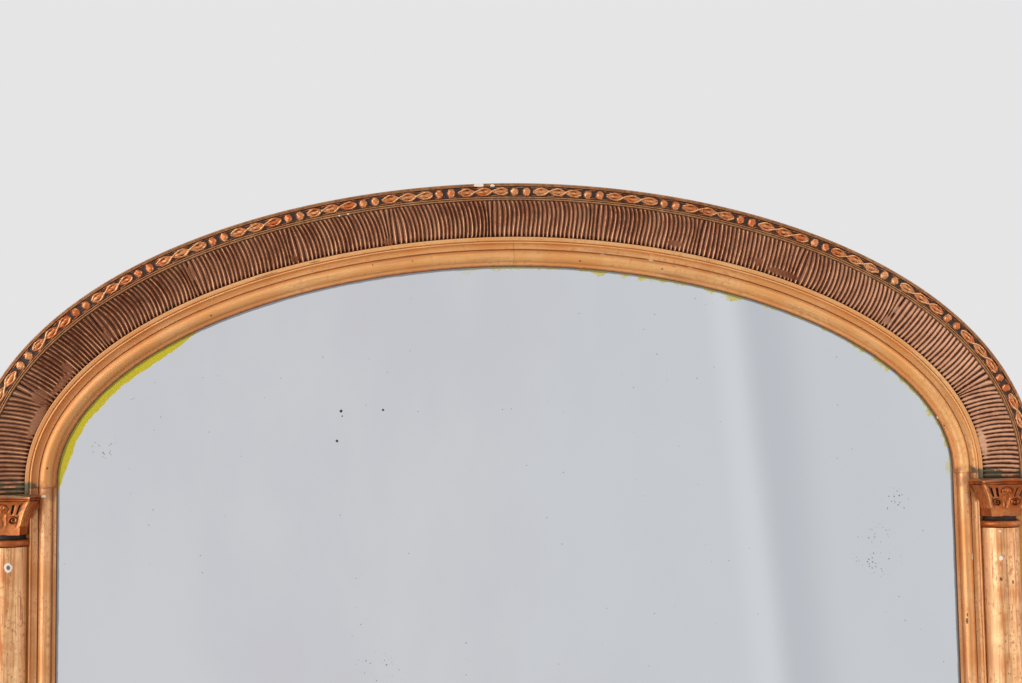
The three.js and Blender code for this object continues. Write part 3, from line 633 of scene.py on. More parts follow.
class Layers:
    """The colour of a surface, and how bare of metal it is, as layer is laid on layer."""

    def __init__(self, shader: Shader, ground: Link) -> None:
        """Starts with metal all over."""
        self.shader = shader
        self.colour = ground
        self.bare: Optional[Value] = None

    def lay(self, mask: Value, tone: Link, cover: float = 1.0, bare: float = 0.0) -> None:
        """Lays one more.

        Args:
            mask: where it lies.
            tone: its colour.
            cover: how far it hides what is under it.
            bare: how far it hides the metal's shine.
        """
        self.colour = self.shader.mix(mask if cover == 1.0 else mask * cover, self.colour, tone)
        if bare > 0.0:
            dull = mask if bare == 1.0 else mask * bare
            self.bare = dull if self.bare is None else self.bare.at_least(dull)


@dataclass(frozen=True)
class Gilding:
    """Leaf over red clay and gesso: gold, rubbed to clay, chipped to white, dark in grooves with dirt
    and painted shade, and pale on crests with wear and a painted highlight.
    """

    name: str
    gold: Colour
    pale: Colour
    clay: Colour
    groove: Colour
    dirt_and_shade: Colour
    metallic: float = 0.75
    roughness: float = 0.36
    coat: float = 0.3
    coat_roughness: float = 0.3
    specular: float = 0.5
    pale_share: float = 1.0
    pale_reach: tuple[float, float] = (0.36, 0.66)
    clay_share: float = 0.4
    dirt_and_shade_reach: tuple[float, float] = (0.22, 0.05)
    groove_dirt_and_shade_reach: tuple[float, float] = (0.46, 0.22)
    wear_and_highlight_reach: tuple[float, float] = (0.80, 1.0)
    wear_and_highlight_share: float = 0.5
    brush: tuple[float, float] = (9.0, 260.0)
    brush_share: float = 0.45
    peel: float = 0.10
    pits: float = 0.0
    bronze_from: Optional[float] = None
    patina_share: float = 0.0
    joint_share: float = 0.0
    polish_and_highlight_share: float = 0.0
    left_wear: float = 0.0
    end_highlight_and_wear_share: float = 0.0
    chips: tuple[Mark, ...] = ()
    holes: tuple[Mark, ...] = ()
    bronze: Colour = (124, 80, 50)
    polish_and_highlight_tone: Colour = (255, 218, 166)
    end_highlight_and_wear_tone: Colour = (232, 178, 142)
    crust_tones: tuple[Colour, Colour] = ((66, 54, 40), (146, 132, 102))
    gesso: Colour = (238, 226, 212)
    bare_wood: Colour = (72, 44, 28)

    def grain(self, s: Shader) -> Grain:
        """The relief and the noises of this finish."""
        return Grain(
            shader=s, relief=s.attribute("relief"),
            patches=s.noise(16.0, detail=4.0, shift=3.0),
            brushed=s.noise((*self.brush, 1.0), detail=4.0, shift=7.0, charted=True),
            mottle=s.noise(210.0, detail=4.0, shift=1.0),
            fine=s.noise(900.0, detail=3.0, shift=5.0))

    def rubbed(self, g: Grain) -> Value:
        """Where leaf is rubbed through to the clay, most of all on the left where asked.

        Args:
            g: the shared noises.

        Returns:
            The mask.
        """
        uneven = g.mottle * 0.45 + g.brushed * 0.45 + g.patches * 0.3 - 0.1
        rubbed = uneven.ramp(0.50, 0.64) * self.clay_share
        if self.left_wear:
            leftwards = g.shader.axis(0).ramp(*LEFT_RUBBED) * (0.6 + g.patches * 0.8).clamped()
            rubbed = rubbed.at_least(leftwards * self.left_wear)
        return rubbed

    def polish_and_highlight(self, g: Grain, rubs: Value) -> Value:
        """The bright line of a column on its side next to the glass, where it isn't rubbed: polish and a
        painted highlight.
        """
        inner = abs(g.shader.axis(1, charted=True)).ramp(*POLISH_AND_HIGHLIGHT_BAND)
        return inner * (1.1 - rubs).clamped() * self.polish_and_highlight_share

    def paler_crests(self, g: Grain) -> Value:
        """Paler crests towards the right end of the arch, and less so towards the left: wear and a
        painted highlight.
        """
        x = g.shader.axis(0)
        ends = x.ramp(*RIGHT_HIGHLIT_AND_WORN) + x.ramp(*LEFT_HIGHLIT_AND_WORN) * 0.45
        return ends * (g.relief + g.mottle * 0.6 - 0.3).ramp(0.25, 0.65) * self.end_highlight_and_wear_share

    def bronzed(self, g: Grain, worn_and_highlit: Value) -> Value:
        """Old bronze paint beyond a line across the chart, but for where crests are worn and carry a
        painted highlight.
        """
        start, end = self.bronze_from * MM, (self.bronze_from + 0.8) * MM
        painted = g.shader.axis(1, charted=True).ramp(start, end)
        return painted * (0.75 + (g.mottle - 0.5) * 1.6).clamped() * (1.0 - worn_and_highlit * 0.8)

    def pitted(self, g: Grain) -> Value:
        """Small pits in patches."""
        pits = g.shader.cells((150.0, 330.0, 1.0), 2.0, charted=True) + (g.mottle - 0.5) * 0.2
        return pits.ramp(0.20, 0.12) * g.patches.ramp(0.44, 0.56) * self.pits

    def patina(self, s: Shader) -> Value:
        """Green-grey crust where the arch stands on the capitals.

        Args:
            s: the shader.

        Returns:
            The mask.
        """
        ragged = s.noise(95.0, detail=5.0, shift=11.0)
        x, z = abs(s.axis(0)), s.axis(2)
        band = z.ramp(*CRUST_BAND[0]) * z.ramp(*CRUST_BAND[1]) * x.ramp(*CRUST_EDGE)
        inner = x.ramp(*CRUST_CORE) * 0.6 + 0.4
        crust = (band * inner + (ragged - 0.5) * 2.4 - 0.32).ramp(0.0, 0.35)
        return crust * band.ramp(0.0, 0.5) * self.patina_share

    def joint(self, s: Shader) -> Value:
        """Old glue and dirt over the joint between arch and uprights.

        Args:
            s: the shader.

        Returns:
            The mask.
        """
        ragged = s.noise(120.0, detail=4.0, shift=12.0)
        z = s.axis(2)
        band = z.ramp(*JOINT_BAND[0]) * z.ramp(*JOINT_BAND[1])
        glue = (band + (ragged - 0.5) * 2.8 - 0.25).ramp(0.10, 0.8)
        return glue * band.ramp(0.0, 0.3) * self.joint_share

    def lay_age(self, g: Grain, layers: Layers) -> None:
        """Lays the marks that only some of the finishes have.

        Args:
            g: the shared noises.
            layers: what they are laid on.
        """
        s = g.shader
        if self.pits:
            layers.lay(self.pitted(g), linear(self.groove), bare=0.6)
        if self.joint_share:
            layers.lay(self.joint(s), linear(self.groove), bare=0.7)
        if self.patina_share:
            depth = (g.relief * 0.7 + g.fine * 0.8 - 0.4).clamped()
            dark, pale = (linear(tone) for tone in self.crust_tones)
            layers.lay(self.patina(s), s.mix(depth, dark, pale), bare=1.0)
        if self.chips:
            layers.lay(s.spots(self.chips, g.mottle), linear(self.gesso), bare=1.0)
        if self.holes:
            layers.lay(s.spots(self.holes, g.mottle), linear(self.bare_wood), cover=0.85, bare=1.0)

    def material(self) -> bpy.types.Material:
        """The node material.

        Returns:
            The material, which reads the relief attribute and the chart.
        """
        s = Shader(bpy.data.materials.new(self.name))
        g = self.grain(s)
        lighter = (g.patches * 0.7 + g.brushed * 0.6 - 0.15).ramp(*self.pale_reach) * self.pale_share
        layers = Layers(s, s.mix(lighter, linear(self.gold), linear(self.pale)))
        rubbed = self.rubbed(g)
        streaked = g.brushed.ramp(0.52, 0.68) * self.brush_share
        layers.lay(rubbed.at_least(streaked), linear(self.clay))
        # the pale on crests is wear and a painted highlight
        worn_and_highlit = (g.relief + (g.mottle - 0.5) * 0.4).ramp(*self.wear_and_highlight_reach) * self.wear_and_highlight_share
        layers.lay(worn_and_highlit, linear(self.pale))
        # polish and a painted highlight on the columns
        if self.polish_and_highlight_share:
            layers.lay(self.polish_and_highlight(g, streaked + rubbed), linear(self.polish_and_highlight_tone), bare=0.55)
        # wear and a painted highlight on the crests near the arch's ends
        if self.end_highlight_and_wear_share:
            layers.lay(self.paler_crests(g), linear(self.end_highlight_and_wear_tone), bare=0.3)
        if self.bronze_from is not None:
            layers.lay(self.bronzed(g, worn_and_highlit), linear(self.bronze), bare=0.4)
        # painted shade with dirt: low relief darkens to the groove tone, and the deepest to dirt and
        # shade
        depth = g.relief + (g.mottle - 0.5) * 0.24
        layers.lay(depth.ramp(*self.groove_dirt_and_shade_reach), linear(self.groove), cover=0.85, bare=0.35)
        layers.lay(depth.ramp(*self.dirt_and_shade_reach) * 0.94, linear(self.dirt_and_shade), bare=1.0)
        self.lay_age(g, layers)
        gloss = self.roughness + (g.mottle - 0.5) * 0.22 + (rubbed + layers.bare) * 0.22
        return s.finish({
            "Base Color": layers.colour,
            "Metallic": (1.0 - layers.bare * 0.85) * self.metallic,
            "Roughness": gloss.clamped(),
            "Coat Weight": (1.0 - layers.bare) * self.coat if self.coat else 0.0,
            "Coat Roughness": self.coat_roughness,
            "Specular IOR Level": self.specular,
            "Normal": s.bump(g.fine * 0.25 + g.mottle * 0.75, self.peel),
        })


@dataclass(frozen=True)
class Timber:
    """Bare pine: long grain with wavy rings, darkened by dust."""

    name: str
    pale: Colour
    dark: Colour
    dust: Colour
    roughness: float = 0.78
    lean: float = 0.0

    def material(self) -> bpy.types.Material:
        """The node material, its grain running up or leaning to +X by so many degrees.

        Returns:
            The material.
        """
        s = Shader(bpy.data.materials.new(self.name))
        s.lean(self.lean)
        bend = s.noise((4.0, 4.0, 1.5), detail=2.0, shift=4.0)
        fibre = s.noise((700.0, 700.0, 14.0), detail=3.0, shift=2.0)
        dusty = s.noise(9.0, detail=4.0, shift=8.0)
        rings = s.node("ShaderNodeTexWave", {"wave_type": "BANDS", "bands_direction": "X"}, {
            "Vector": s.mapped((1.0, 1.0, 0.10)), "Scale": 38.0, "Distortion": 9.0,
            "Detail": 3.0, "Detail Scale": 1.2})
        ring = Value(s, rings.outputs["Fac"])
        late = (ring * 0.6 + fibre * 0.5 + bend * 0.3 - 0.2).clamped()
        layers = Layers(s, s.mix(late, linear(self.pale), linear(self.dark)))
        layers.lay(dusty.ramp(0.42, 0.72), linear(self.dust), cover=0.45)
        return s.finish({
            "Base Color": layers.colour,
            "Roughness": (self.roughness + (fibre - 0.5) * 0.3).clamped(),
            "Normal": s.bump(fibre * 0.7 + ring * 0.3, 0.25),
        })


@dataclass(frozen=True)
class Ironwork:
    """Forged or turned iron with rust in patches."""

    name: str
    metal: Colour
    rust: Colour
    rusted: float
    roughness: float = 0.5

    def material(self) -> bpy.types.Material:
        """The node material.

        Returns:
            The material.
        """
        s = Shader(bpy.data.materials.new(self.name))
        patches = s.noise(90.0, detail=5.0, shift=6.0)
        grain = s.noise(900.0, detail=3.0, shift=1.0)
        reach = self.rusted * 0.3
        rust = (patches + (grain - 0.5) * 0.3).ramp(0.62 - reach, 0.78 - reach)
        return s.finish({
            "Base Color": s.mix(rust, linear(self.metal), linear(self.rust)),
            "Metallic": 1.0 - rust * 0.9,
            "Roughness": (self.roughness + rust * 0.35 + (grain - 0.5) * 0.2).clamped(),
            "Normal": s.bump(grain * 0.4 + patches * 0.6, 0.18),
        })


@dataclass(frozen=True)
class Plate:
    """What the stains of the plate share: shader, distance inside the edge, and two noises."""

    shader: Shader
    edge: Value
    ragged: Value
    fine: Value


@dataclass(frozen=True)
class Silvering:
    """A silvered plate: clear, its edge yellowed on the left of the arch, with foxing, and painted shade
    along its sight edge.
    """

    name: str = "silvered_plate"
    silver: Colour = (229, 231, 234)
    yellow: Colour = (252, 234, 24)
    foxing_and_shade: Colour = (70, 62, 52)
    paint: Colour = (128, 84, 64)
    paint_depth: tuple[float, float] = (3.5, 3.9)
    arch_from: tuple[float, float] = (0.990, 1.030)
    specks: tuple[tuple[float, float, float], ...] = ()
    clusters: tuple[tuple[float, float, float], ...] = ()

    def edge_distance(self, s: Shader) -> Value:
        """Distance inside the sight edge: (1 - g) over the gradient's size, g being the curve.

        Args:
            s: the shader.

        Returns:
            The distance in metres.
        """
        power = ARCH.fullness
        a, b = ARCH.half_width * MM, ARCH.rise * MM
        across = (abs(s.axis(0)) / a).at_least(0.001)
        up = ((s.axis(2) - ARCH.spring * MM) / b).at_least(0.0001)
        curve = across**power + up**power
        slope_x, slope_z = across ** (power - 1) / a, up ** (power - 1) / b
        slope = (slope_x * slope_x + slope_z * slope_z) ** 0.5 * power
        return (1.0 - curve) / slope

    def yellowed(self, plate: Plate) -> Value:
        """A strip along the left of the arch, with a thin fringe further up.

        Args:
            plate: the shared values.

        Returns:
            The mask.
        """
        x, on_arch = plate.shader.axis(0), plate.shader.axis(2).ramp(*self.arch_from)
        strip = x.ramp(-0.325, -0.365) * on_arch
        width = (0.0052 + plate.ragged * 0.0068) * strip
        frayed = (plate.edge - width + (plate.fine - 0.5) * 0.0020).ramp(0.0006, -0.0006)
        fringe = (plate.edge - (plate.ragged - 0.44) * 0.028).ramp(0.0020, -0.0016)
        return (frayed * strip.ramp(0.02, 0.2)).at_least(fringe * x.ramp(-0.08, 0.02) * on_arch * 0.7)

    def foxing_and_edge_shade(self, plate: Plate) -> Value:
        """A dark rim of painted shade along the sight edge, single specks, peppered clusters, and sparse
        spots all over.

        Args:
            plate: the shared values.

        Returns:
            The mask.
        """
        s, ragged, fine = plate.shader, plate.ragged, plate.fine
        x, z = s.axis(0), s.axis(2)
        # the rim is painted shade: the shadow and dark reflection of the frame's lip in the glass
        marks = (plate.edge - 0.0008 - ragged * 0.0016).ramp(0.0012, 0.0) * 0.55

        def distance(place_x: float, place_z: float) -> Value:
            """Distance from a place given in millimetres."""
            dx, dz = x - place_x * MM, z - place_z * MM
            return (dx * dx + dz * dz) ** 0.5

        for px, pz, radius in self.specks:
            away = distance(px, pz) + (fine - 0.5) * 0.0008
            marks = marks.at_least(away.ramp(radius * MM * 1.25, radius * MM * 0.75))
        tiny, small = s.cells(300.0, 3.0), s.cells(85.0, 5.0)
        peppered = (tiny + (fine - 0.5) * 0.3).ramp(0.30, 0.20) * ragged.ramp(0.46, 0.56)
        for px, pz, radius in self.clusters:
            near = distance(px, pz).ramp(radius * MM, radius * MM * 0.35)
            marks = marks.at_least(near * peppered * 0.6)
        sparse = (small + (fine - 0.5) * 0.05).ramp(0.075, 0.05) * ragged.ramp(0.52, 0.60) * 0.35
        return marks.at_least(sparse)

    def material(self) -> bpy.types.Material:
        """The node material: silver in front, and old paint on the back of the plate.

        Returns:
            The material.
        """
        s = Shader(bpy.data.materials.new(self.name))
        plate = Plate(s, edge=self.edge_distance(s), ragged=s.noise(75.0, detail=4.0, shift=2.0),
                      fine=s.noise(420.0, detail=3.0, shift=9.0))
        start, end = ((ARCH.glass_y + depth) * MM for depth in self.paint_depth)
        layers = Layers(s, linear(self.silver))
        layers.lay(self.yellowed(plate), linear(self.yellow), bare=1.0)
        layers.lay(self.foxing_and_edge_shade(plate), linear(self.foxing_and_shade), bare=1.0)
        layers.lay(s.axis(1).ramp(start, end), linear(self.paint), bare=1.0)
        return s.finish({
            "Base Color": layers.colour,
            "Metallic": 1.0 - layers.bare * 0.9,
            "Roughness": 0.012 + layers.bare * 0.45,
            "IOR": 1.5,
        })


class Finish(Enum):
    """The finishes of this frame, one material each."""

    ARCH_GILT = Gilding(
        "arch_gilding", gold=(228, 158, 90), pale=(242, 188, 126), clay=(178, 114, 64),
        groove=(158, 92, 56), dirt_and_shade=(92, 52, 30), metallic=0.60, roughness=0.49, coat=0.08,
        clay_share=0.55, brush_share=0.55, peel=0.16, patina_share=0.9, joint_share=0.75,
        left_wear=0.5,
        chips=((742, 16.6, 2.6, 0.7), (797, 17.3, 3.0, 1.1), (842, 16.6, 3.6, 0.6),
               (1203, 0.6, 2.0, 0.6)),
        holes=((717, 7.2, 1.0, 1.0), (810, 9.0, 1.3, 0.8), (486, 13.0, 0.9, 0.8),
               (530, 11.0, 0.9, 0.8), (300, 7.5, 1.2, 0.9), (20, 9.0, 1.6, 1.0),
               (1218, 2.8, 1.4, 0.9)))
    COVE_GILT = Gilding(
        "cove_gilding", gold=(222, 154, 90), pale=(240, 186, 126), clay=(170, 106, 60),
        groove=(120, 72, 44), dirt_and_shade=(62, 40, 28), metallic=0.60, roughness=0.49, coat=0.08,
        clay_share=0.5, peel=0.18, bronze_from=60.0, patina_share=1.0, joint_share=0.3, left_wear=0.5,
        chips=((607.5, 85.6, 5.0, 2.2), (621, 84.2, 2.6, 1.8), (461, 69.5, 1.0, 0.8),
               (470, 69.5, 1.2, 0.8)),
        holes=((425, 28.5, 6.0, 0.5), (370, 28.0, 12.0, 0.4)))
    BURNISHED = Gilding(
        "burnished_gilding", gold=(210, 142, 80), pale=(242, 188, 134), clay=(172, 96, 54),
        groove=(146, 84, 46), dirt_and_shade=(96, 54, 30), metallic=0.70, roughness=0.50, coat=0.22,
        clay_share=0.5, brush=(7.0, 320.0), brush_share=0.6, peel=0.07, pits=0.6, joint_share=0.5,
        chips=((995.5, -12.0, 1.4, 2.6), (914.0, 15.6, 3.0, 1.6)),
        holes=((845.6, 6.4, 3.0, 0.9), (852.0, 6.8, 2.0, 0.6)))
    FACING_GILT = Gilding(
        "facing_gilding", gold=(174, 114, 50), pale=(192, 134, 66), clay=(150, 82, 42),
        groove=(116, 66, 34), dirt_and_shade=(86, 54, 32), metallic=0.60, roughness=0.46, coat=0.0,
        specular=0.25, clay_share=0.3, brush=(5.0, 300.0), peel=0.08)
    COLUMN_GILT = Gilding(
        "column_gilding", gold=(198, 120, 60), pale=(250, 198, 140), clay=(156, 72, 40),
        groove=(132, 70, 42), dirt_and_shade=(96, 54, 32), metallic=0.68, roughness=0.43, coat=0.35,
        coat_roughness=0.36, pale_reach=(0.40, 0.58), clay_share=0.7, brush=(14.0, 330.0),
        brush_share=0.75, peel=0.10, pits=1.0, polish_and_highlight_share=0.4,
        chips=((924.7, -88.6, 4.6, 4.0), (941.6, 86.6, 1.2, 1.2), (912.9, 86.5, 2.4, 1.9)),
        holes=((924.9, -88.4, 2.3, 1.9), (890.6, 85.7, 1.8, 1.5), (887.3, 98.4, 2.2, 1.1)))
    COPPER = Gilding(
        "copper_gilding", gold=(160, 76, 26), pale=(246, 180, 112), clay=(132, 48, 18),
        groove=(78, 40, 22), dirt_and_shade=(36, 27, 22), metallic=0.72, roughness=0.38, coat=0.12,
        specular=0.3, pale_share=0.30, clay_share=0.55, dirt_and_shade_reach=(0.30, 0.12),
        groove_dirt_and_shade_reach=(0.52, 0.30), wear_and_highlight_reach=(0.78, 1.0), wear_and_highlight_share=0.7, brush=(60.0, 60.0),
        peel=0.16, patina_share=0.8)
    ORNAMENT = Gilding(
        "ornament_gilding", gold=(194, 98, 38), pale=(255, 208, 142), clay=(146, 60, 24),
        groove=(98, 50, 28), dirt_and_shade=(38, 28, 22), metallic=0.50, roughness=0.36, coat=0.25,
        pale_share=0.4, clay_share=0.5, dirt_and_shade_reach=(0.30, 0.12), groove_dirt_and_shade_reach=(0.50, 0.28),
        wear_and_highlight_reach=(0.76, 0.96), wear_and_highlight_share=0.85, brush=(60.0, 60.0), peel=0.18, patina_share=0.8)
    REEDING = Gilding(
        "reeded_composition", gold=(112, 59, 33), pale=(232, 174, 130), clay=(98, 40, 22),
        groove=(72, 40, 26), dirt_and_shade=(40, 26, 19), metallic=0.35, roughness=0.46, coat=0.0,
        specular=0.2, pale_share=0.22, clay_share=0.45, dirt_and_shade_reach=(0.24, 0.08),
        groove_dirt_and_shade_reach=(0.42, 0.18), wear_and_highlight_reach=(0.68, 0.92), wear_and_highlight_share=0.9, brush=(40.0, 40.0),
        brush_share=0.25, peel=0.12, patina_share=1.0, end_highlight_and_wear_share=0.85)
    PINE = Timber("carcass_pine", pale=(190, 148, 102), dark=(146, 102, 64), dust=(134, 112, 88))
    PINE_ACROSS = Timber("carcass_pine_across", pale=(186, 144, 98), dark=(142, 98, 62),
                         dust=(132, 110, 86), lean=90.0)
    PINE_LEFT = Timber("carcass_pine_left", pale=(188, 146, 100), dark=(144, 100, 63),
                       dust=(132, 110, 86), lean=52.0)
    PINE_RIGHT = Timber("carcass_pine_right", pale=(188, 146, 100), dark=(144, 100, 63),
                        dust=(132, 110, 86), lean=-52.0)
    PLANKS = Timber("back_plank_pine", pale=(168, 130, 92), dark=(118, 84, 56), dust=(132, 114, 94),
                    roughness=0.86)
    IRON = Ironwork("hanger_iron", metal=(70, 64, 58), rust=(92, 56, 36), rusted=0.55)
    STEEL = Ironwork("screw_steel", metal=(150, 144, 134), rust=(104, 70, 46), rusted=0.25,
                     roughness=0.42)
    SILVER = Silvering(
        specks=((-184.6, 1079.4, 1.5), (-140.5, 1079.9, 1.2), (-189.0, 1048.0, 1.4),
                (-183.5, 1074.0, 0.8)),
        clusters=((411.0, 972.0, 20.0), (389.0, 922.0, 34.0), (-151.0, 811.5, 24.0),
                  (-430.0, 1046.0, 16.0)))


class Palette:
    """Makes each finish's material once."""

    def __init__(self) -> None:
        """Starts with none made."""
        self._made: dict[Finish, bpy.types.Material] = {}

    def __call__(self, finish: Finish) -> bpy.types.Material:
        """The material of a finish."""
        if finish not in self._made:
            self._made[finish] = finish.value.material()
        return self._made[finish]


@dataclass
class Bench:
    """Dresses pieces and fits them to the frame."""

    nodes: dict[str, bpy.types.Object]
    palette: Palette

    def fit(self, piece: bpy.types.Object, finish: Finish, nodes: Sequence[str],
            body: str = BODY) -> bpy.types.Object:
        """Gives a piece its finish and its place in the frame.

        Args:
            piece: the new object.
            finish: what it is finished with.
            nodes: the solids it stands for.
            body: the body it moves with.

        Returns:
            The piece.
        """
        piece.data.materials.append(self.palette(finish))
        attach(piece, body)
        if nodes:
            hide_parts(*nodes)
        LOG.info("%s: %d faces, stands for %s", piece.name, len(piece.data.polygons),
                 ", ".join(nodes) or "nothing")
        return piece

    def dress(self, node: str, finish: Finish) -> None:
        """Puts a finish on a solid that stays in view.

        Args:
            node: its name.
            finish: what it is finished with.
        """
        shown = self.nodes[node]
        shown.data.materials.clear()
        shown.data.materials.append(self.palette(finish))
        LOG.info("%s: kept, %s", node, finish.name)

    def ease(self, node: str, finish: Finish, width: float) -> bpy.types.Object:
        """Replaces a plain solid by a copy of it with eased arrises."""
        copy = softened(self.nodes[node], f"{node}_eased", width)
        return self.fit(copy, finish, [node])


# ---------------------------------------------------------------- mouldings
def relief_of(section: Array, lows: Sequence[tuple[float, float, float]],
              highs: Sequence[tuple[float, float]]) -> Array:
    """Relief round a section: 0.55, less near the grooves and more near the arrises.

    Args:
        section: its points.
        lows: (out, reach, depth) of each groove.
        highs: (out, reach) of each arris.

    Returns:
        One number for each point.
    """
    out, fore = section[:, 0], section[:, 1]
    relief = np.full(len(section), 0.55)
    for place, reach in highs:
        relief = relief + 0.42 * hump(out - place, reach)
    for place, reach, depth in lows:
        relief = relief - depth * hump(out - place, reach)
    return np.where(fore < 0.5, 0.0, np.clip(relief, 0.0, 1.0))


@dataclass
class SightMoulding:
    """The torus moulding round the glass: lip, torus, quirk, hollow and ridge."""

    lip: float = 2.2
    torus_centre: tuple[float, float] = (10.6, 4.6)
    torus_radius: float = 6.4
    width: float = 26.0
    ridge_fore: float = 9.0
    joint_drop: float = 6.0
    rows: int = 170
    straight_rows: int = 90

    def section(self, quirked: bool = True) -> Array:
        """Closed outline in (out, fore): arcs for the torus and ridge, a parabola for the hollow.

        Args:
            quirked: the lip is set off from the torus by a quirk, as on the uprights.

        Returns:
            The outline.
        """
        quirk, start = [[3.2, self.lip + 0.1]], 199
        if quirked:
            quirk, start = [[2.2, self.lip + 0.1], [3.6, self.lip + 0.5]], 186
        return np.concatenate([
            [[0.0, 0.0], [0.0, self.lip - 0.5]],
            arc((0.5, self.lip - 0.5), 0.5, 180, 90, 4),
            quirk,
            arc(self.torus_centre, self.torus_radius, start, -6, 40),
            [[17.3, 3.3], [17.9, 3.5]],
            parabola((18.2, 4.5), (22.6, 4.9), (24.0, 7.8)),
            arc((25.0, self.ridge_fore - 1.0), 1.0, 170, 0, 7),
            [[self.width, 0.0]],
        ])

    def relief(self, section: Array) -> Array:
        """A groove between torus and hollow; arrises on the lip and the ridge."""
        grooves = ((17.3, 1.2, 0.40), (3.6, 1.0, 0.34), (0.0, 0.45, 0.5))
        return relief_of(section, grooves, ((1.5, 0.5), (25.0, 1.0)))

    def arch_relief(self, section: Array) -> Array:
        """On the arch the lip is dark and the groove wide."""
        return relief_of(section, ((17.2, 1.3, 0.30), (0.0, 1.2, 0.45)), ((25.0, 1.0),))

    def arch_half(self, start: float, end: float) -> Shell:
        """The section carried along one half of the arch.

        Args:
            start: its first length on the reed track.
            end: its last.

        Returns:
            The shell.
        """
        section = self.section(quirked=False)
        along = np.linspace(start, end, self.rows)[:, None]
        fore = section[:, 1] * (1.0 + waver(along, 0.012, 0.4))
        grid = REED_TRACK.place(along, section[:, 0], fore)
        return swept(grid, self.arch_relief(section), stacked(grid.shape[:2], along, section[:, 0]))

    def straight(self, side: float) -> Shell:
        """One upright, its foot mitred: z falls by one for each step out.

        Args:
            side: -1 for the left one, 1 for the right.

        Returns:
            The shell.
        """
        section = self.section()
        out, fore = section[:, 0], section[:, 1]
        part = np.linspace(0.0, 1.0, self.straight_rows)[:, None]
        head = ARCH.spring - self.joint_drop - 2 * JOINT
        foot = ARCH.sill + 2 * JOINT - out
        z = head + (foot - head) * part
        x = side * (ARCH.half_width + out) + waver(z, 0.10, 1.1 + side) * (out > 1.0)
        grid = stacked(z.shape, x, ARCH.glass_y - fore, z)
        return swept(grid, self.relief(section), stacked(z.shape, z, side * out))

    def foot(self) -> Shell:
        """The lower length, mitred at both ends.

        Returns:
            The shell.
        """
        section = self.section()
        out, fore = section[:, 0], section[:, 1]
        x = np.linspace(-1.0, 1.0, self.straight_rows)[:, None] * (ARCH.half_width + out)
        grid = stacked(x.shape, x, ARCH.glass_y - fore, ARCH.sill - out)
        return swept(grid, self.relief(section), stacked(x.shape, x, out))

    def build(self, bench: Bench) -> None:
        """All five lengths.

        Args:
            bench: dresses and fits them.
        """
        whole = REED_TRACK.length
        halves = spans((-self.joint_drop, whole / 2, whole + self.joint_drop), JOINT)
        for (side, sign), (start, end) in zip(SIDES, halves):
            arch = make_object(f"sight_arch_{side}_moulding", self.arch_half(start, end))
            bench.fit(arch, Finish.ARCH_GILT, [f"sight_arch_{side}"])
            upright = make_object(f"sight_{side}_moulding", self.straight(sign))
            bench.fit(upright, Finish.BURNISHED, [f"sight_{side}"])
        foot = make_object("sight_bottom_moulding", self.foot())
        bench.fit(foot, Finish.BURNISHED, ["sight_bottom"])


@dataclass
class CoveCore:
    """The wooden cove under the reeding: lip, seat, two fillets, channel and outer edge."""

    inner: float = 26.3
    reed_inner: float = 31.0
    fillets: float = 69.0
    channel: float = 72.6
    edge: float = 83.4
    outer: float = 87.0
    rows: int = 130

    def section(self) -> Array:
        """Closed outline in (out, fore): straight lines between the arcs of its arrises.

        Returns:
            The outline.
        """
        return np.concatenate([
            [[self.inner, 0.0], [self.inner, 6.9]],
            arc((self.inner + 1.5, 6.9), 1.5, 180, 90, 5),
            [[29.2, 8.25], [30.2, 8.5]],
            arc((30.5, 8.0), 0.5, 90, 0, 4),
            [[self.reed_inner, 2.3], [self.fillets, 11.3]],
            arc((self.fillets + 0.8, 18.3), 0.8, 180, 20, 6),
            [[70.75, 17.7], [71.0, 17.7]],
            arc((71.8, 18.4), 0.8, 160, 0, 6),
            [[self.channel, 17.0], [self.edge, 17.0]],
            arc((self.edge + 0.7, 18.8), 0.7, 180, 90, 4),
            [[85.0, 19.2], [85.4, 19.5]],
            arc((85.6, 18.1), 1.4, 85, 0, 6),
            [[self.outer, 0.0]],
        ])

    def relief(self, section: Array) -> Array:
        """Grooves at the joints and between the fillets."""
        grooves = ((26.3, 0.4, 0.16), (31.2, 0.4, 0.5), (70.9, 0.35, 0.5), (72.9, 0.5, 0.5),
                   (83.2, 0.6, 0.5), (84.9, 0.4, 0.3))
        return relief_of(section, grooves, ((30.0, 0.9), (69.8, 0.5), (71.8, 0.5), (86.4, 0.5)))

    def build(self, bench: Bench) -> None:
        """All lengths, from the left.

        Args:
            bench: dresses and fits them.
        """
        section = self.section()
        out, fore = section[:, 0], section[:, 1]
        ends = np.linspace(-SPRINGER_DROP, REED_TRACK.length + SPRINGER_DROP, LENGTHS + 1)
        for number, (low, high) in enumerate(spans(ends, JOINT), 1):
            along = np.linspace(low, high, self.rows)[:, None]
            grid = REED_TRACK.place(along, out, fore + waver(along, 0.10, 2.2) * (fore > 5.0))
            shell = swept(grid, self.relief(section), stacked(grid.shape[:2], along, out))
            piece = make_object(f"cove_{number}_core", shell)
            bench.fit(piece, Finish.COVE_GILT, [f"cove_{number}"])


@dataclass(frozen=True)
class Strip:
    """One pressed strip: its share of the arch, its ribs, and how these lean, bow and skew."""

    share: float
    ribs: int
    lean_start: float
    lean_end: float
    bow: float
    skew: float = 1.0


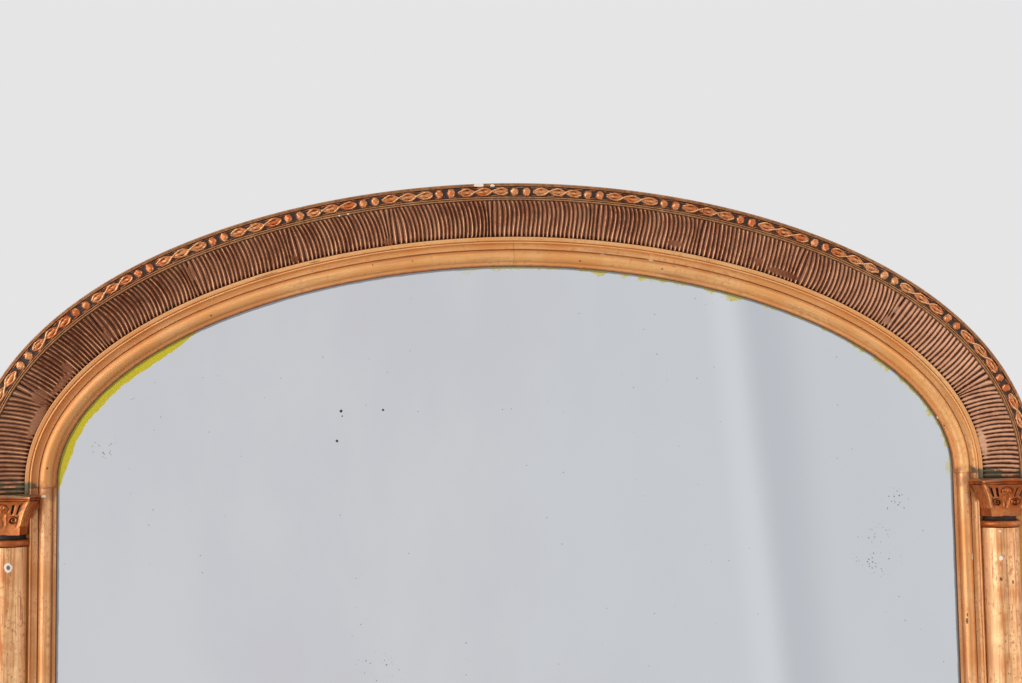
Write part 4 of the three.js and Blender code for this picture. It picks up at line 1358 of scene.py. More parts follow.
@dataclass
class ReededStrips:
    """Twelve pressed strips of slanting, bowed ribs with sharp crests."""

    inner: float = 31.5
    outer: float = 68.5
    inner_fore: float = 6.8
    outer_fore: float = 15.8
    hollow: float = 1.8
    relief: float = 2.0
    seat_drop: float = 4.3
    fill_rise: float = 0.9
    pocket: float = 1.5
    samples: int = 12
    columns: int = 24
    strips: tuple[Strip, ...] = (
        Strip(109, 24, 0.0, -13.0, 0.5), Strip(93, 22, -3.0, -4.0, 0.8),
        Strip(108, 24, -2.5, -1.0, 3.2), Strip(107, 24, 1.5, -1.0, 2.0),
        Strip(107, 24, -5.0, -6.0, 2.6), Strip(108, 24, -6.0, -3.0, 2.8),
        Strip(113, 24, -1.5, -2.0, 2.6, 1.6), Strip(113, 24, -1.5, -3.0, 2.8, 1.6),
        Strip(112, 24, -3.0, -3.5, 1.2), Strip(117, 25, -3.5, -5.0, 3.2),
        Strip(113, 23, 4.0, -5.0, 1.6), Strip(109, 23, 13.0, -1.0, -1.2))
    fills: tuple[Mark, ...] = (
        (74, 35, 24, 5.0), (96, 45, 8, 8), (122, 36, 18, 3.6), (137, 43, 5, 6), (191, 41, 3.6, 6),
        (299, 56, 2.6, 8), (405, 36, 4, 4.5), (508, 35, 6, 4), (915, 41, 5, 4), (945, 37, 20, 3.4),
        (1075, 54, 2.6, 4), (1073, 39, 5, 5), (1255, 35, 20, 4.5), (820, 39, 9, 3))

    def filled(self, along: Array, out: Array) -> Array:
        """How far old filler covers the ribs: soft ovals, the largest of them.

        Args:
            along: length on the reed track.
            out: distance from the glass edge.

        Returns:
            0 to 1 for each point.
        """
        cover = np.zeros(np.broadcast(along, out).shape)
        for place, across, half_along, half_across in self.fills:
            away = ((along - place) / half_along) ** 2 + ((out - across) / half_across) ** 2
            frayed = away + 0.25 * np.sin(along * 1.9) * np.sin(out * 1.3)
            cover = np.maximum(cover, smooth(1.25, 0.45, frayed))
        return cover

    def shell(self, strip: Strip, start: float, end: float, seed: float) -> Shell:
        """One strip.

        A rib's crest follows along = place + lean * (v - 1/2) + bow * 4 w (1 - w), w = v to the
        power of the skew, v running from 0 inside to 1 outside. Its height falls from the crest
        as (1 - 2 d)^1.15, d being the distance to the crest in ribs.

        Args:
            strip: its sizes.
            start: its first length on the reed track.
            end: its last.
            seed: makes its unevenness its own.

        Returns:
            The closed shell.
        """
        part = np.linspace(0.0, 1.0, strip.ribs * self.samples + 1)[:, None]
        v = np.linspace(0.0, 1.0, self.columns)[None, :]
        rib = part * strip.ribs
        straight = start + (end - start) * part
        w = v**strip.skew
        lean = strip.lean_start + (strip.lean_end - strip.lean_start) * part
        uneven = 0.22 * np.sin(rib * 1.7 + seed) * np.sin(v * 5.0 + seed)
        uneven = uneven + 0.12 * np.sin(rib * 5.1 + v * 9.0)
        held = smooth(0.0, 3.0 / strip.ribs, part) * smooth(0.0, 3.0 / strip.ribs, 1.0 - part)
        along = straight + held * (lean * (v - 0.5) + strip.bow * 4 * w * (1 - w) + uneven)
        out = np.broadcast_to(self.inner + (self.outer - self.inner) * v, along.shape)
        crest = (1.0 - 2.0 * np.abs(rib % 1.0 - 0.5)) ** 1.15 * np.ones_like(v)
        cover = self.filled(along, out)
        tips = 1.0 - 0.35 * hump(v, 0.03) - 0.5 * hump(1.0 - v, 0.04)
        height = self.relief * (0.92 + 0.10 * np.sin(rib.round() * 2.3 + seed))
        raised = crest * height * tips * (1.0 - 0.75 * cover) + cover * self.fill_rise
        sunk = self.pocket * hump(v, 0.055) * (1.0 - crest) * (1.0 - cover)
        fore = self.inner_fore + (self.outer_fore - self.inner_fore) * v**self.hollow + raised - sunk
        paler_crests = 0.88 + 0.14 * hump(v, 0.30) + 0.08 * np.sin(rib.round() * 3.1 + v * 4.0 + seed)
        # the relief paints light: a highlight on the crests, shade in the valleys, darkest in the
        # pockets at the inner end
        tone = (0.12 + 0.88 * crest) * paler_crests - 0.5 * (1.0 - crest) * hump(v, 0.06)
        relief = np.clip(tone * (1.0 - cover) + 0.60 * cover, 0.0, 1.0)
        seat = np.array([self.outer_fore - self.seat_drop, self.inner_fore - self.seat_drop])
        along, out = backed(along, straight), backed(out, [self.outer, self.inner])
        grid = REED_TRACK.place(along, out, backed(fore, seat))
        return swept(grid, backed(relief, 0.0), np.stack([along, out], axis=-1))

    def build(self, bench: Bench) -> None:
        """All strips, from the left.

        Args:
            bench: dresses and fits them.
        """
        shares = np.array([strip.share for strip in self.strips])
        parts = np.concatenate([[0.0], np.cumsum(shares) / shares.sum()])
        ends = -SPRINGER_DROP + (REED_TRACK.length + 2 * SPRINGER_DROP) * parts
        for i, (strip, (low, high)) in enumerate(zip(self.strips, spans(ends, PRESSED_JOINT))):
            shell = self.shell(strip, low, high, i * 1.37)
            piece = make_object(f"reed_strip_{i + 1}_ribs", shell, crease=60.0)
            bench.fit(piece, Finish.REEDING, [f"reed_strip_{i + 1}"])


@dataclass
class EdgeOrnament:
    """Pairs of beads with a twisted ribbon of three eyes between them."""

    inner: float = 73.1
    outer: float = 82.9
    floor: float = 17.3
    ground: float = 18.0
    bead_relief: float = 3.6
    ribbon_relief: float = 2.6
    bead_reach: tuple[float, float] = (4.4, 4.5)
    bead_place: float = 6.4
    ribbon_from: float = 12.5
    repeats: int = 17
    step: float = 0.7
    columns: int = 21
    pairs: tuple[float, ...] = (43, 117, 187.5, 258, 337, 416, 493.5, 572, 650, 726.5, 807, 889,
                                970.5, 1050.5, 1128, 1205, 1280)

    def carve(self, along: Array, across: Array, centres: Array) -> tuple[Array, Array]:
        """Height of the carving above its ground, and its relief.

        Beads are half ellipsoids. The ribbon is two strands at +-A sin(3 pi t), which cross
        twice and leave three eyes with a seed in each, t running from one pair of beads to
        the next. All of it is uneven by products of sine waves.

        Args:
            along: length on the ornament track.
            across: distance from its middle line.
            centres: the pairs' places on that track.

        Returns:
            The height in millimetres and the relief from 0 to 1.
        """
        after = np.clip(np.searchsorted(centres, along), 1, len(centres) - 1)
        first, second = centres[after - 1], centres[after]
        uneven = np.sin(along * 0.83) * np.sin(across * 0.9 + along * 0.37)
        shift = 0.35 * np.sin(along * 0.31 + across * 0.5) + 0.25 * np.sin(along * 0.11)
        across = across + shift
        height = np.zeros(np.broadcast(along, across).shape)
        relief = np.zeros_like(height)

        def lay(form: Array, low: float, high: float) -> None:
            """Puts a form over what is there, its relief going from low to high.

            Args:
                form: its height.
                low: its relief at the foot.
                high: its relief at the top.
            """
            nonlocal height, relief
            share = np.clip(form / max(float(form.max()), 1e-6), 0.0, 1.0)
            relief = np.where(form > height, low + (high - low) * share, relief)
            height = np.maximum(height, form)

        # each form's relief runs from its foot to its top: painted shade low down, a painted highlight
        # on top
        border = 1.1 * hump(np.abs(across) - 4.6, 0.5)
        lay(border * (0.55 + 0.45 * np.sin(along * 0.21) ** 2), 0.0, 0.62)
        t = (along - first - self.ribbon_from) / (second - first - 2 * self.ribbon_from)
        inside = smooth(0.0, 0.03, t) * smooth(0.0, 0.03, 1.0 - t)
        phase = 3 * np.pi * (t + 0.012 * np.sin(first))
        eye = np.abs(np.sin(phase))
        seed = np.clip(1.0 - (across / 1.9) ** 2 - ((1.0 - eye) / 0.62) ** 2, 0.0, 1.0)
        lay(1.9 * np.sqrt(seed) * inside, 0.30, 0.80)
        swing = 3.5 * np.sin(phase)
        over = 0.5 + 0.5 * np.cos(phase)
        for strand, lift in ((swing, over), (-swing, 1.0 - over)):
            ribbon = self.ribbon_relief * hump(across - strand, 1.2) * (0.66 + 0.34 * lift) * inside
            lay(ribbon, -0.1, 1.06)
        half_along, half_across = self.bead_reach
        for middle in (first, second):
            for place in (-self.bead_place, self.bead_place):
                away = ((along - middle - place) / half_along) ** 2 + (across / half_across) ** 2
                bead = self.bead_relief * np.sqrt(np.clip(1.0 - away, 0.0, 1.0))
                # a painted highlight round each bead's rim
                rim = 0.60 + 0.42 * hump(np.sqrt(away) - 0.78, 0.14) * (0.5 + 0.5 * uneven)
                relief = np.where(bead > height, rim * smooth(1.0, 0.9, away), relief)
                height = np.maximum(height, bead)
        return height * (1.0 + 0.18 * uneven), np.clip(relief + 0.10 * uneven, 0.0, 1.0)

    def build(self, bench: Bench) -> None:
        """All lengths, from the left, cut between whole repeats of the solid ornament.

        Args:
            bench: dresses and fits them.
        """
        centres = ORNAMENT_TRACK.along_at(REED_TRACK.angle_at(np.array(self.pairs, dtype=float)))
        pitch = (ORNAMENT_TRACK.length + 2 * SPRINGER_DROP) / self.repeats
        cuts = [round(i * self.repeats / LENGTHS) for i in range(LENGTHS + 1)]
        ends = [-SPRINGER_DROP + cut * pitch for cut in cuts]
        v = np.linspace(self.inner, self.outer, self.columns)[None, :]
        for number, (low, high) in enumerate(spans(ends, PRESSED_JOINT), 1):
            along = np.linspace(low, high, int((high - low) / self.step))[:, None]
            height, relief = self.carve(along, v - (self.inner + self.outer) / 2, centres)
            out = backed(np.broadcast_to(v, height.shape), [self.outer, self.inner])
            grid = ORNAMENT_TRACK.place(along, out, backed(self.ground + height, self.floor))
            shell = swept(grid, backed(relief, 0.0), stacked(out.shape, along, out))
            piece = make_object(f"ornament_{number}_carving", shell, crease=75.0)
            bench.fit(piece, Finish.ORNAMENT, [f"ornament_{number}"])


# ---------------------------------------------------------------- half columns
@dataclass
class HalfColumn:
    """Shaft, base and capital of one half column, drawn on its own axis."""

    axis_x: float = 524.0
    wall_y: float = -3.0
    radius: float = 20.0
    shaft_foot: float = 80.3
    shaft_top: float = 944.7
    plinth_top: float = 50.0
    base_radius: float = 28.0
    base_height: float = 30.0

    def turned(self, radii: Array, heights: Array, relief: Array, facets: int = 64) -> Shell:
        """A half turned form: each height is a half circle, closed by the flat at the wall.

        Args:
            radii: radius of each point of the profile.
            heights: its height.
            relief: its relief.
            facets: points round the half circle.

        Returns:
            The shell, whose chart is (height, way round).
        """
        angle = np.linspace(np.pi, 2 * np.pi, facets)[None, :]
        x = self.axis_x + radii[:, None] * np.cos(angle)
        y = self.wall_y + radii[:, None] * np.sin(angle)
        z = heights[:, None]
        chart = stacked(x.shape, z, angle * self.radius)
        return swept(stacked(x.shape, x, y, z), relief[:, None], chart)

    def shaft(self) -> Shell:
        """The plain shaft, its straightness a little uneven."""
        z = np.linspace(self.shaft_foot, self.shaft_top, 140)
        return self.turned(self.radius + waver(z, 0.08, 3.0), z, np.full(len(z), 0.55))

    def base(self) -> Shell:
        """Torus, scotia and smaller torus: arcs in radius and height.

        Returns:
            The shell.
        """
        r, z0, h = self.base_radius, self.plinth_top, self.base_height
        profile = np.concatenate([
            [[r - 1.0, z0]],
            arc((r - 4.6, z0 + 4.6), 4.6, -70, 80, 16),
            [[r - 4.4, z0 + 9.8], [r - 4.4, z0 + 10.8]],
            arc((r - 1.2, z0 + 15.6), 5.4, 240, 122, 14),
            [[r - 4.2, z0 + 20.6], [r - 4.2, z0 + 21.4]],
            arc((r - 5.4, z0 + 24.4), 2.9, -75, 75, 12),
            [[r - 6.6, z0 + 27.6], [r - 6.9, z0 + h]],
        ])
        radii = profile[:, 0]
        relief = 0.6 + (radii - (r - 5.0)) * 0.08 - np.abs(np.gradient(radii)) * 0.05
        return self.turned(radii, profile[:, 1], np.clip(relief, 0.0, 1.0))


@dataclass
class Capital:
    """Bell with corner leaves and volutes, under a dished abacus, over a neck ring."""

    column: HalfColumn
    bottom: float = 945.0
    top: float = 998.0
    abacus: float = 7.0
    ring: float = 8.0
    neck: float = 4.2
    half: tuple[float, float] = (22.0, 34.5)
    front_half: tuple[float, float] = (16.5, 28.0)
    depth: tuple[float, float] = (19.6, 27.6)
    flare: float = 1.8
    bell_dish: float = 1.6
    slab_half: tuple[float, float, float] = (36.0, 28.6, 29.3)
    slab_dish: float = 2.2
    droop: float = 2.2
    rows: int = 120
    face_points: tuple[int, int, int] = (44, 116, 44)

    def outline(self, half: Array, front: Array, depth: Array,
                dish: float) -> tuple[Array, Array, Array, Array]:
        """Plan outlines of three dished faces: left, front and right.

        Each face runs straight between its corners and is pressed in by dish * (1 - u^2),
        u running from -1 to 1 across it.

        Args:
            half: half width at the wall for each row.
            front: half width in front.
            depth: depth in front of the wall.
            dish: how far each face is pressed in, at most.

        Returns:
            x and y from the column's axis, u across each face, and the face's number.
        """
        corners = [np.stack([-half, 0 * half], -1), np.stack([-front, -depth], -1),
                   np.stack([front, -depth], -1), np.stack([half, 0 * half], -1)]
        xs, ys, us, faces = [], [], [], []
        for number, count in enumerate(self.face_points):
            part = np.linspace(0.0, 1.0, count, endpoint=number == 2)
            a, b = corners[number], corners[number + 1]
            line = a[:, None, :] + (b - a)[:, None, :] * part[None, :, None]
            run = b - a
            inward = np.stack([-run[:, 1], run[:, 0]], -1) / np.linalg.norm(run, axis=1)[:, None]
            u = 2.0 * part - 1.0
            line = line + inward[:, None, :] * (dish * (1.0 - u**2))[None, :, None]
            xs.append(line[..., 0])
            ys.append(line[..., 1])
            us.append(np.broadcast_to(u, line.shape[:2]))
            faces.append(np.full(line.shape[:2], number))
        return tuple(np.concatenate(part, axis=1) for part in (xs, ys, us, faces))

    def carving(self, face: Array, u: Array, t: Array) -> tuple[Array, Array]:
        """Carved height of the bell above its plain surface, and its relief.

        A rolled leaf edge runs up beside each corner. The front has a flower on a stem, two
        spirals, |r - pitch * turn|, and four upright slits with narrow leaves between them. A
        plain collar stays at the foot. The sides have a deep hollow next to the corner and
        ribs behind it.

        Args:
            face: 1 for the front, 0 and 2 for the sides.
            u: -1 to 1 across the face.
            t: 0 at the foot, 1 under the abacus.

        Returns:
            The height in millimetres and the relief from 0 to 1.
        """
        off, opened = np.abs(u), smooth(0.20, 0.30, t)
        edge = hump(off - 0.92, 0.06) * opened
        hollow = hump(off - 0.80, 0.07) * opened * smooth(1.0, 0.93, t)
        stem = hump(off - 0.10 - 0.12 * t, 0.06) * opened * smooth(0.66, 0.54, t)
        groove = hump(u, 0.05) * opened * smooth(0.60, 0.40, t)
        spirals, cut, slits = np.zeros_like(u), np.zeros_like(u), np.zeros_like(u)
        for side in (-1.0, 1.0):
            dx, dz = (u - side * 0.52) * 17.0, (t - 0.45) * 37.0
            radius, turn = np.hypot(dx, dz), np.arctan2(dz, dx * side) / (2 * np.pi)
            wave = np.cos(2 * np.pi * (radius / 2.5 - turn))
            inside = smooth(4.7, 3.9, radius)
            spirals = spirals + np.clip(wave, 0.0, 1.0) * inside
            cut = cut + np.clip(-wave, 0.0, 1.0) * inside
        for place in (0.46, 0.72):
            away = np.abs(off - place - 0.10 * (t - 0.76))
            slits = slits + hump(away, 0.050, 4) * smooth(0.60, 0.66, t) * smooth(0.92, 0.87, t)
        petal = np.hypot(u * 22.0, (t - 0.76) * 37.0)
        lobes = 0.62 + 0.38 * np.cos(5 * np.arctan2(t - 0.76, u * 0.6))
        flower = hump(petal, 4.4, 4) * lobes + 0.6 * hump(petal, 1.3)
        ring = hump(petal - 5.8, 0.9) * smooth(0.66, 0.74, t)
        rib = np.cos(22.0 * (off + 0.35 * t)) * opened * smooth(0.70, 0.55, off)
        # each form with its share of the height, in millimetres, and of the relief; the relief's share
        # paints shade into cut forms and a highlight onto raised ones
        in_front = ((stem, 1.2, 0.34), (groove, -0.7, -0.20), (spirals, 1.5, 0.22),
                    (cut, -1.3, -0.40), (slits, -2.8, -0.60), (flower, 1.8, 0.22),
                    (ring, -0.9, -0.25), (hollow, -0.9, -0.20), (edge, 1.5, 0.44))
        beside = ((rib, 0.5, 0.14), (hollow, -2.4, -0.44), (edge, 1.5, 0.44))
        height, tone = (np.where(face == 1, sum(row[0] * row[column] for row in in_front),
                                 sum(row[0] * row[column] for row in beside)) for column in (1, 2))
        chipped = 0.10 * np.sin(u * 17.0 + t * 9.0) * np.sin(t * 23.0 + u * 5.0)
        return height, np.clip(0.56 + tone + chipped, 0.0, 1.0)

    def bell(self) -> Shell:
        """The carved bell, opening as t^1.8, t running up it.

        Returns:
            The shell.
        """
        t = np.linspace(0.0, 1.0, self.rows)
        opening = t**self.flare
        limits = (self.half, self.front_half, self.depth)
        sizes = [low + (high - low) * opening for low, high in limits]
        x, y, u, face = self.outline(*sizes, dish=self.bell_dish)
        height, relief = self.carving(face, u, t[:, None])
        inwards = y + sizes[2].mean() * 0.35
        push = height / np.maximum(np.hypot(x, inwards), 1.0)
        low, high = self.bottom + self.ring + self.neck, self.top - self.abacus
        z = (low + (high - low) * t)[:, None]
        grid = stacked(x.shape, x + x * push + self.column.axis_x,
                       np.minimum(y + inwards * push, 0.0) + self.column.wall_y, z)
        return swept(grid, relief, stacked(x.shape, z, u * 25.0))

    def slab(self) -> Shell:
        """The abacus: a dished plan, its edge moulded, its tips drooping as u^2.

        Returns:
            The shell.
        """
        profile = np.array([[-2.0, 0.0, 0.1], [-0.6, 0.5, 0.3], [-0.2, 1.6, 0.6], [-0.9, 2.2, 0.3],
                            [0.0, 2.9, 0.62], [0.0, 4.5, 0.72], [-0.5, 5.0, 0.5]])
        rise, tone = profile[:, 1:2], profile[:, 2:3]
        sizes = [size + profile[:, 0] for size in self.slab_half]
        x, y, u, _ = self.outline(*sizes, dish=self.slab_dish)
        drop = self.droop * u**2 * np.linspace(0.2, 1.0, len(profile))[:, None]
        z = self.top - self.abacus + rise * self.abacus / 5.0 - drop
        grid = stacked(x.shape, x + self.column.axis_x, y + self.column.wall_y, z)
        relief = np.clip(tone + 0.3 * (np.abs(u) > 0.93) + 0.1 * np.sin(u * 9.0), 0.0, 1.0)
        return swept(grid, relief, stacked(x.shape, z, u * 30.0))

    def rings(self) -> Shell:
        """The astragal, a half round ring, under the hollow neck.

        Returns:
            The shell.
        """
        r, foot, neck = self.column.radius, self.bottom, self.bottom + self.ring
        profile = np.concatenate([
            [[r - 1.0, foot - 0.2], [r + 0.4, foot + 0.2]],
            arc((r - 0.6, foot + self.ring / 2), 3.8, -78, 78, 18),
            [[r - 0.2, neck], [r - 1.8, neck + 0.5], [r - 2.2, neck + 1.5],
             [r - 1.6, neck + self.neck + 0.4]],
        ])
        # the hollow neck's low relief paints shade in the gap over the astragal
        bulge = np.clip((profile[:, 0] - (r - 1.0)) / 4.2, 0.0, 1.0)
        return self.column.turned(profile[:, 0], profile[:, 1], 0.02 + 0.66 * bulge)

    def shell(self) -> Shell:
        """All of the capital."""
        return self.bell() + self.slab() + self.rings()


@dataclass
class HalfColumns:
    """Both half columns."""

    column: HalfColumn

    def build(self, bench: Bench) -> None:
        """The right one as drawn, the left one its mirror image.

        Args:
            bench: dresses and fits them.
        """
        capital = Capital(self.column)
        parts = (
            ("column", "shaft", self.column.shaft(), Finish.COLUMN_GILT, "burnished_gilding"),
            ("base", "turning", self.column.base(), Finish.COPPER, "copper_gilding"),
            ("capital", "carving", capital.shell(), Finish.COPPER, "copper_gilding"),
        )
        for side, sign in SIDES:
            for node, word, shell, finish, slot in parts:
                handed = Shell(shell.points * [sign, 1.0, 1.0], shell.quads, shell.caps, shell.relief,
                               shell.chart * [1.0, sign])
                piece = make_object(f"{node}_{side}_{word}", handed, crease=50.0)
                bench.fit(piece, finish, [f"{node}_{side}"])
            bench.ease(f"plinth_{side}", Finish.ARCH_GILT, 0.8)
            bench.ease(f"facing_{side}", Finish.FACING_GILT, 0.3)


@dataclass
class Foot:
    """Facing board and moulding between the plinths."""

    half: float = 487.7
    wall_y: float = -3.0
    rows: int = 60

    def moulding(self) -> Shell:
        """An ogee, drawn as a parabola each way, over a plain fascia.

        Returns:
            The shell.
        """
        section = np.concatenate([
            [[0.0, 0.0], [19.6, 0.0], [20.0, 0.4], [20.0, 13.2], [19.2, 13.6], [19.2, 14.2]],
            parabola((20.0, 14.4), (19.8, 21.0), (13.2, 22.6)),
            parabola((13.2, 22.6), (5.8, 24.2), (4.4, 30.2))[1:],
            [[4.4, 33.6], [4.0, 34.0], [0.0, 34.0]],
        ])
        fore, z = section[:, 0], section[:, 1]
        x = np.linspace(-self.half, self.half, self.rows)[:, None]
        shape = (self.rows, len(section))
        relief = np.clip(0.35 + fore / 40.0, 0.0, 1.0)
        return swept(stacked(shape, x, self.wall_y - fore, z), relief, stacked(shape, x, z))

    def build(self, bench: Bench) -> None:
        """Both pieces."""
        ogee = make_object("foot_moulding_ogee", self.moulding())
        bench.fit(ogee, Finish.ARCH_GILT, ["foot_moulding"])
        bench.ease("facing_bottom", Finish.ARCH_GILT, 0.3)


# ---------------------------------------------------------------- behind the gilding
@dataclass
class Carcass:
    """Pine carcass, back planks with their nails, battens and the glass."""

    nail_radius: float = 3.2
    nail_inset: float = 26.0
    nail_foot: float = 88.0
    nail_over_arch: float = 18.0
    edge_nails_x: float = 498.0
    edge_nails_z: tuple[float, ...] = (260.0, 440.0, 620.0, 800.0, 960.0)
    planks: int = 4
    plank_half: float = 510.0
    back_y: float = 32.5

    def nails(self) -> Shell:
        """Low round heads, two to a plank at the foot and over the arch, and a row at each edge.

        Returns:
            All of them as one shell.
        """
        places = []
        pitch = 2 * self.plank_half / self.planks
        for number in range(self.planks):
            left = number * pitch - self.plank_half
            for x in (left + self.nail_inset, left + pitch - self.nail_inset):
                part = max(1.0 - (abs(x) / ARCH.half_width) ** ARCH.fullness, 0.0)
                top = ARCH.spring + ARCH.rise * part ** (1 / ARCH.fullness) + self.nail_over_arch
                places += [(x, z + 3.0 * math.sin(x)) for z in (self.nail_foot, top)]
        places += [(sign * self.edge_nails_x, z) for _, sign in SIDES for z in self.edge_nails_z]
        return reduce(operator.add, (self.nail(x, z) for x, z in places))

    def nail(self, x: float, z: float) -> Shell:
        """One head: a shallow dome of three rings on the plank.

        Args:
            x: its place across.
            z: its height.

        Returns:
            The shell.
        """
        angle = np.linspace(0, 2 * np.pi, 12, endpoint=False)[None, :]
        radius = self.nail_radius * np.array([0.9, 1.0, 0.85, 0.35])[:, None]
        y = self.back_y + np.array([-0.4, 0.15, 0.55, 0.75])[:, None]
        shape = (len(y), angle.size)
        grid = stacked(shape, x + radius * np.cos(angle), y, z + radius * np.sin(angle))
        return swept(grid, np.array([[0.2], [0.5], [0.8], [1.0]]), stacked(shape, y, radius * angle))

    def build(self, bench: Bench) -> None:
        """Everything that shows from behind but the hangers.

        Args:
            bench: dresses and fits them.
        """
        plies = {"front": (Finish.PINE_LEFT, Finish.PINE_ACROSS, Finish.PINE_RIGHT),
                 "back": (Finish.PINE_LEFT, Finish.PINE_RIGHT)}
        for face, finishes in plies.items():
            for number, finish in enumerate(finishes, 1):
                bench.ease(f"arch_{face}_ply_{number}", finish, 0.5)
        for side, _ in SIDES:
            bench.ease(f"stile_{side}", Finish.PINE, 0.5)
        bench.ease("bottom_rail", Finish.PINE_ACROSS, 0.5)
        for place in ("left", "right", "arch", "bottom"):
            bench.dress(f"glass_batten_{place}", Finish.PLANKS)
        for number in range(1, self.planks + 1):
            bench.ease(f"back_plank_{number}", Finish.PLANKS, 0.7)
        bench.fit(make_object("plank_nail_heads", self.nails()), Finish.IRON, [])
        bench.dress("mirror_plate", Finish.SILVER)


@dataclass
class Hangers:
    """Folded straps, rings and slotted screws."""

    x: float = 536.0
    y: float = 28.3
    z: float = 905.0
    wire: float = 2.0
    half_width: float = 16.0
    shoulder: float = 12.0
    corner: float = 4.0
    bore: float = 2.4
    thickness: float = 1.4
    strap_width: float = 12.0
    strap_length: float = 52.0
    screw_spacing: float = 25.0

    def ring(self, sign: float) -> Shell:
        """A round wire along a flat bow: bar, two corners, two sides and a half circle.

        Args:
            sign: -1 for the left ring, 1 for the right.

        Returns:
            The shell.
        """
        h, c, s = self.half_width, self.corner, self.shoulder
        path = np.concatenate([
            np.stack([np.linspace(-h + c, h - c, 24), np.zeros(24)], 1),
            arc((h - c, -c), c, 90, 0, 12)[1:],
            np.stack([np.full(10, h), np.linspace(-c, -s, 10)], 1)[1:],
            arc((0.0, -s), h, 0, -180, 60)[1:],
            np.stack([np.full(10, -h), np.linspace(-s, -c, 10)], 1)[1:],
            arc((-h + c, -c), c, 180, 90, 12)[1:-1],
        ])
        ahead = np.roll(path, -1, axis=0) - np.roll(path, 1, axis=0)
        ahead /= np.linalg.norm(ahead, axis=1)[:, None]
        side = np.stack([ahead[:, 1], -ahead[:, 0]], axis=1)
        turn = np.linspace(0, 2 * np.pi, 20, endpoint=False)[None, :]
        wide, deep = self.wire * np.cos(turn), self.wire * np.sin(turn)
        x = path[:, :1] + side[:, :1] * wide
        z = path[:, 1:] + side[:, 1:] * wide
        grid = stacked(x.shape, sign * self.x + x, self.y + deep, self.z + z)
        along = np.arange(len(path))[:, None]
        chart = stacked(x.shape, along, turn * self.wire)
        return swept(grid, np.array([0.6]), chart, closed_path=True)

    def strap(self, sign: float) -> Shell:
        """A flat strap whose head is rolled round the bar, as a band about its middle line.

        Args:
            sign: -1 for the left strap, 1 for the right.

        Returns:
            The shell.
        """
        middle = self.bore + self.thickness / 2
        line = np.concatenate([
            np.stack([np.full(6, -middle), np.linspace(-self.strap_length, 0.0, 6)], 1),
            arc((0.0, 0.0), middle, 180, -128, 40)[1:],
        ])
        ahead = np.gradient(line, axis=0)
        ahead /= np.linalg.norm(ahead, axis=1)[:, None]
        normal = np.stack([-ahead[:, 1], ahead[:, 0]], axis=1) * self.thickness / 2
        loop = np.concatenate([line + normal, (line - normal)[::-1]])
        half = self.strap_width / 2
        x = sign * self.x + np.array([-half, -half + 0.3, half - 0.3, half])[:, None]
        inset = np.array([0.86, 1.0, 1.0, 0.86])[:, None]
        centre = np.concatenate([line, line[::-1]])
        y = centre[:, 0] + (loop - centre)[:, 0] * inset
        z = centre[:, 1] + (loop - centre)[:, 1] * inset
        grid = stacked(y.shape, x, self.y + y, self.z + z)
        return swept(grid, np.array([0.5]), stacked(y.shape, z, x))

    def screw(self, sign: float, level: int) -> Shell:
        """Head: a dome over polar rings, pressed in along a slot; shank: a tapered pin.

        Args:
            sign: -1 on the left strap, 1 on the right.
            level: 0 for the upper screw, 1 for the lower.

        Returns:
            The shell.
        """
        head_y = self.y - self.bore
        z0 = self.z - (level + 0.5) * self.screw_spacing
        radius = np.array([0.3, 1.7, 3.4, 3.5, 3.3, 2.9, 2.4, 1.9, 1.4, 0.9, 0.45])[:, None]
        rise = np.array([-13.0, -0.1, -0.05, 0.35, 0.95, 1.25, 1.42, 1.5, 1.55, 1.58, 1.6])[:, None]
        turn = np.linspace(0, 2 * np.pi, 48, endpoint=False)[None, :]
        x, z = radius * np.cos(turn), radius * np.sin(turn)
        tilt = 0.5 + level * 0.9 + sign * 0.4
        across = np.abs(x * math.cos(tilt) + z * math.sin(tilt))
        slot = 0.8 * smooth(0.62, 0.42, across) * (rise > 0.5)
        grid = np.stack([sign * self.x + x, head_y + rise - slot, z0 + z], axis=-1)
        return swept(grid, 0.7 - 0.6 * slot, stacked(x.shape, rise, turn))

    def build(self, bench: Bench) -> None:
        """Strap, ring and two screws on each side.

        Args:
            bench: dresses and fits them.
        """
        for side, sign in SIDES:
            strap = make_object(f"hanger_strap_{side}_folded", self.strap(sign))
            bench.fit(strap, Finish.IRON, [f"hanger_strap_{side}"])
            ring = make_object(f"hanger_ring_{side}_wire", self.ring(sign))
            bench.fit(ring, Finish.IRON, [f"hanger_ring_{side}"], body=f"ring_{side}")
            for level, word in enumerate(("upper", "lower")):
                node = f"hanger_screw_{side}_{word}"
                screw = make_object(f"{node}_slotted", self.screw(sign, level), crease=40.0)
                bench.fit(screw, Finish.STEEL, [node])


# ---------------------------------------------------------------- studio
@dataclass(frozen=True)
class SoftBox:
    """An upright light between two points of the floor, as bright as its radiance.

    Its face is to the left of the way from start to end. Lengths are metres.
    """

    start: tuple[float, float]
    end: tuple[float, float]
    radiance: float
    height: float = 1.9


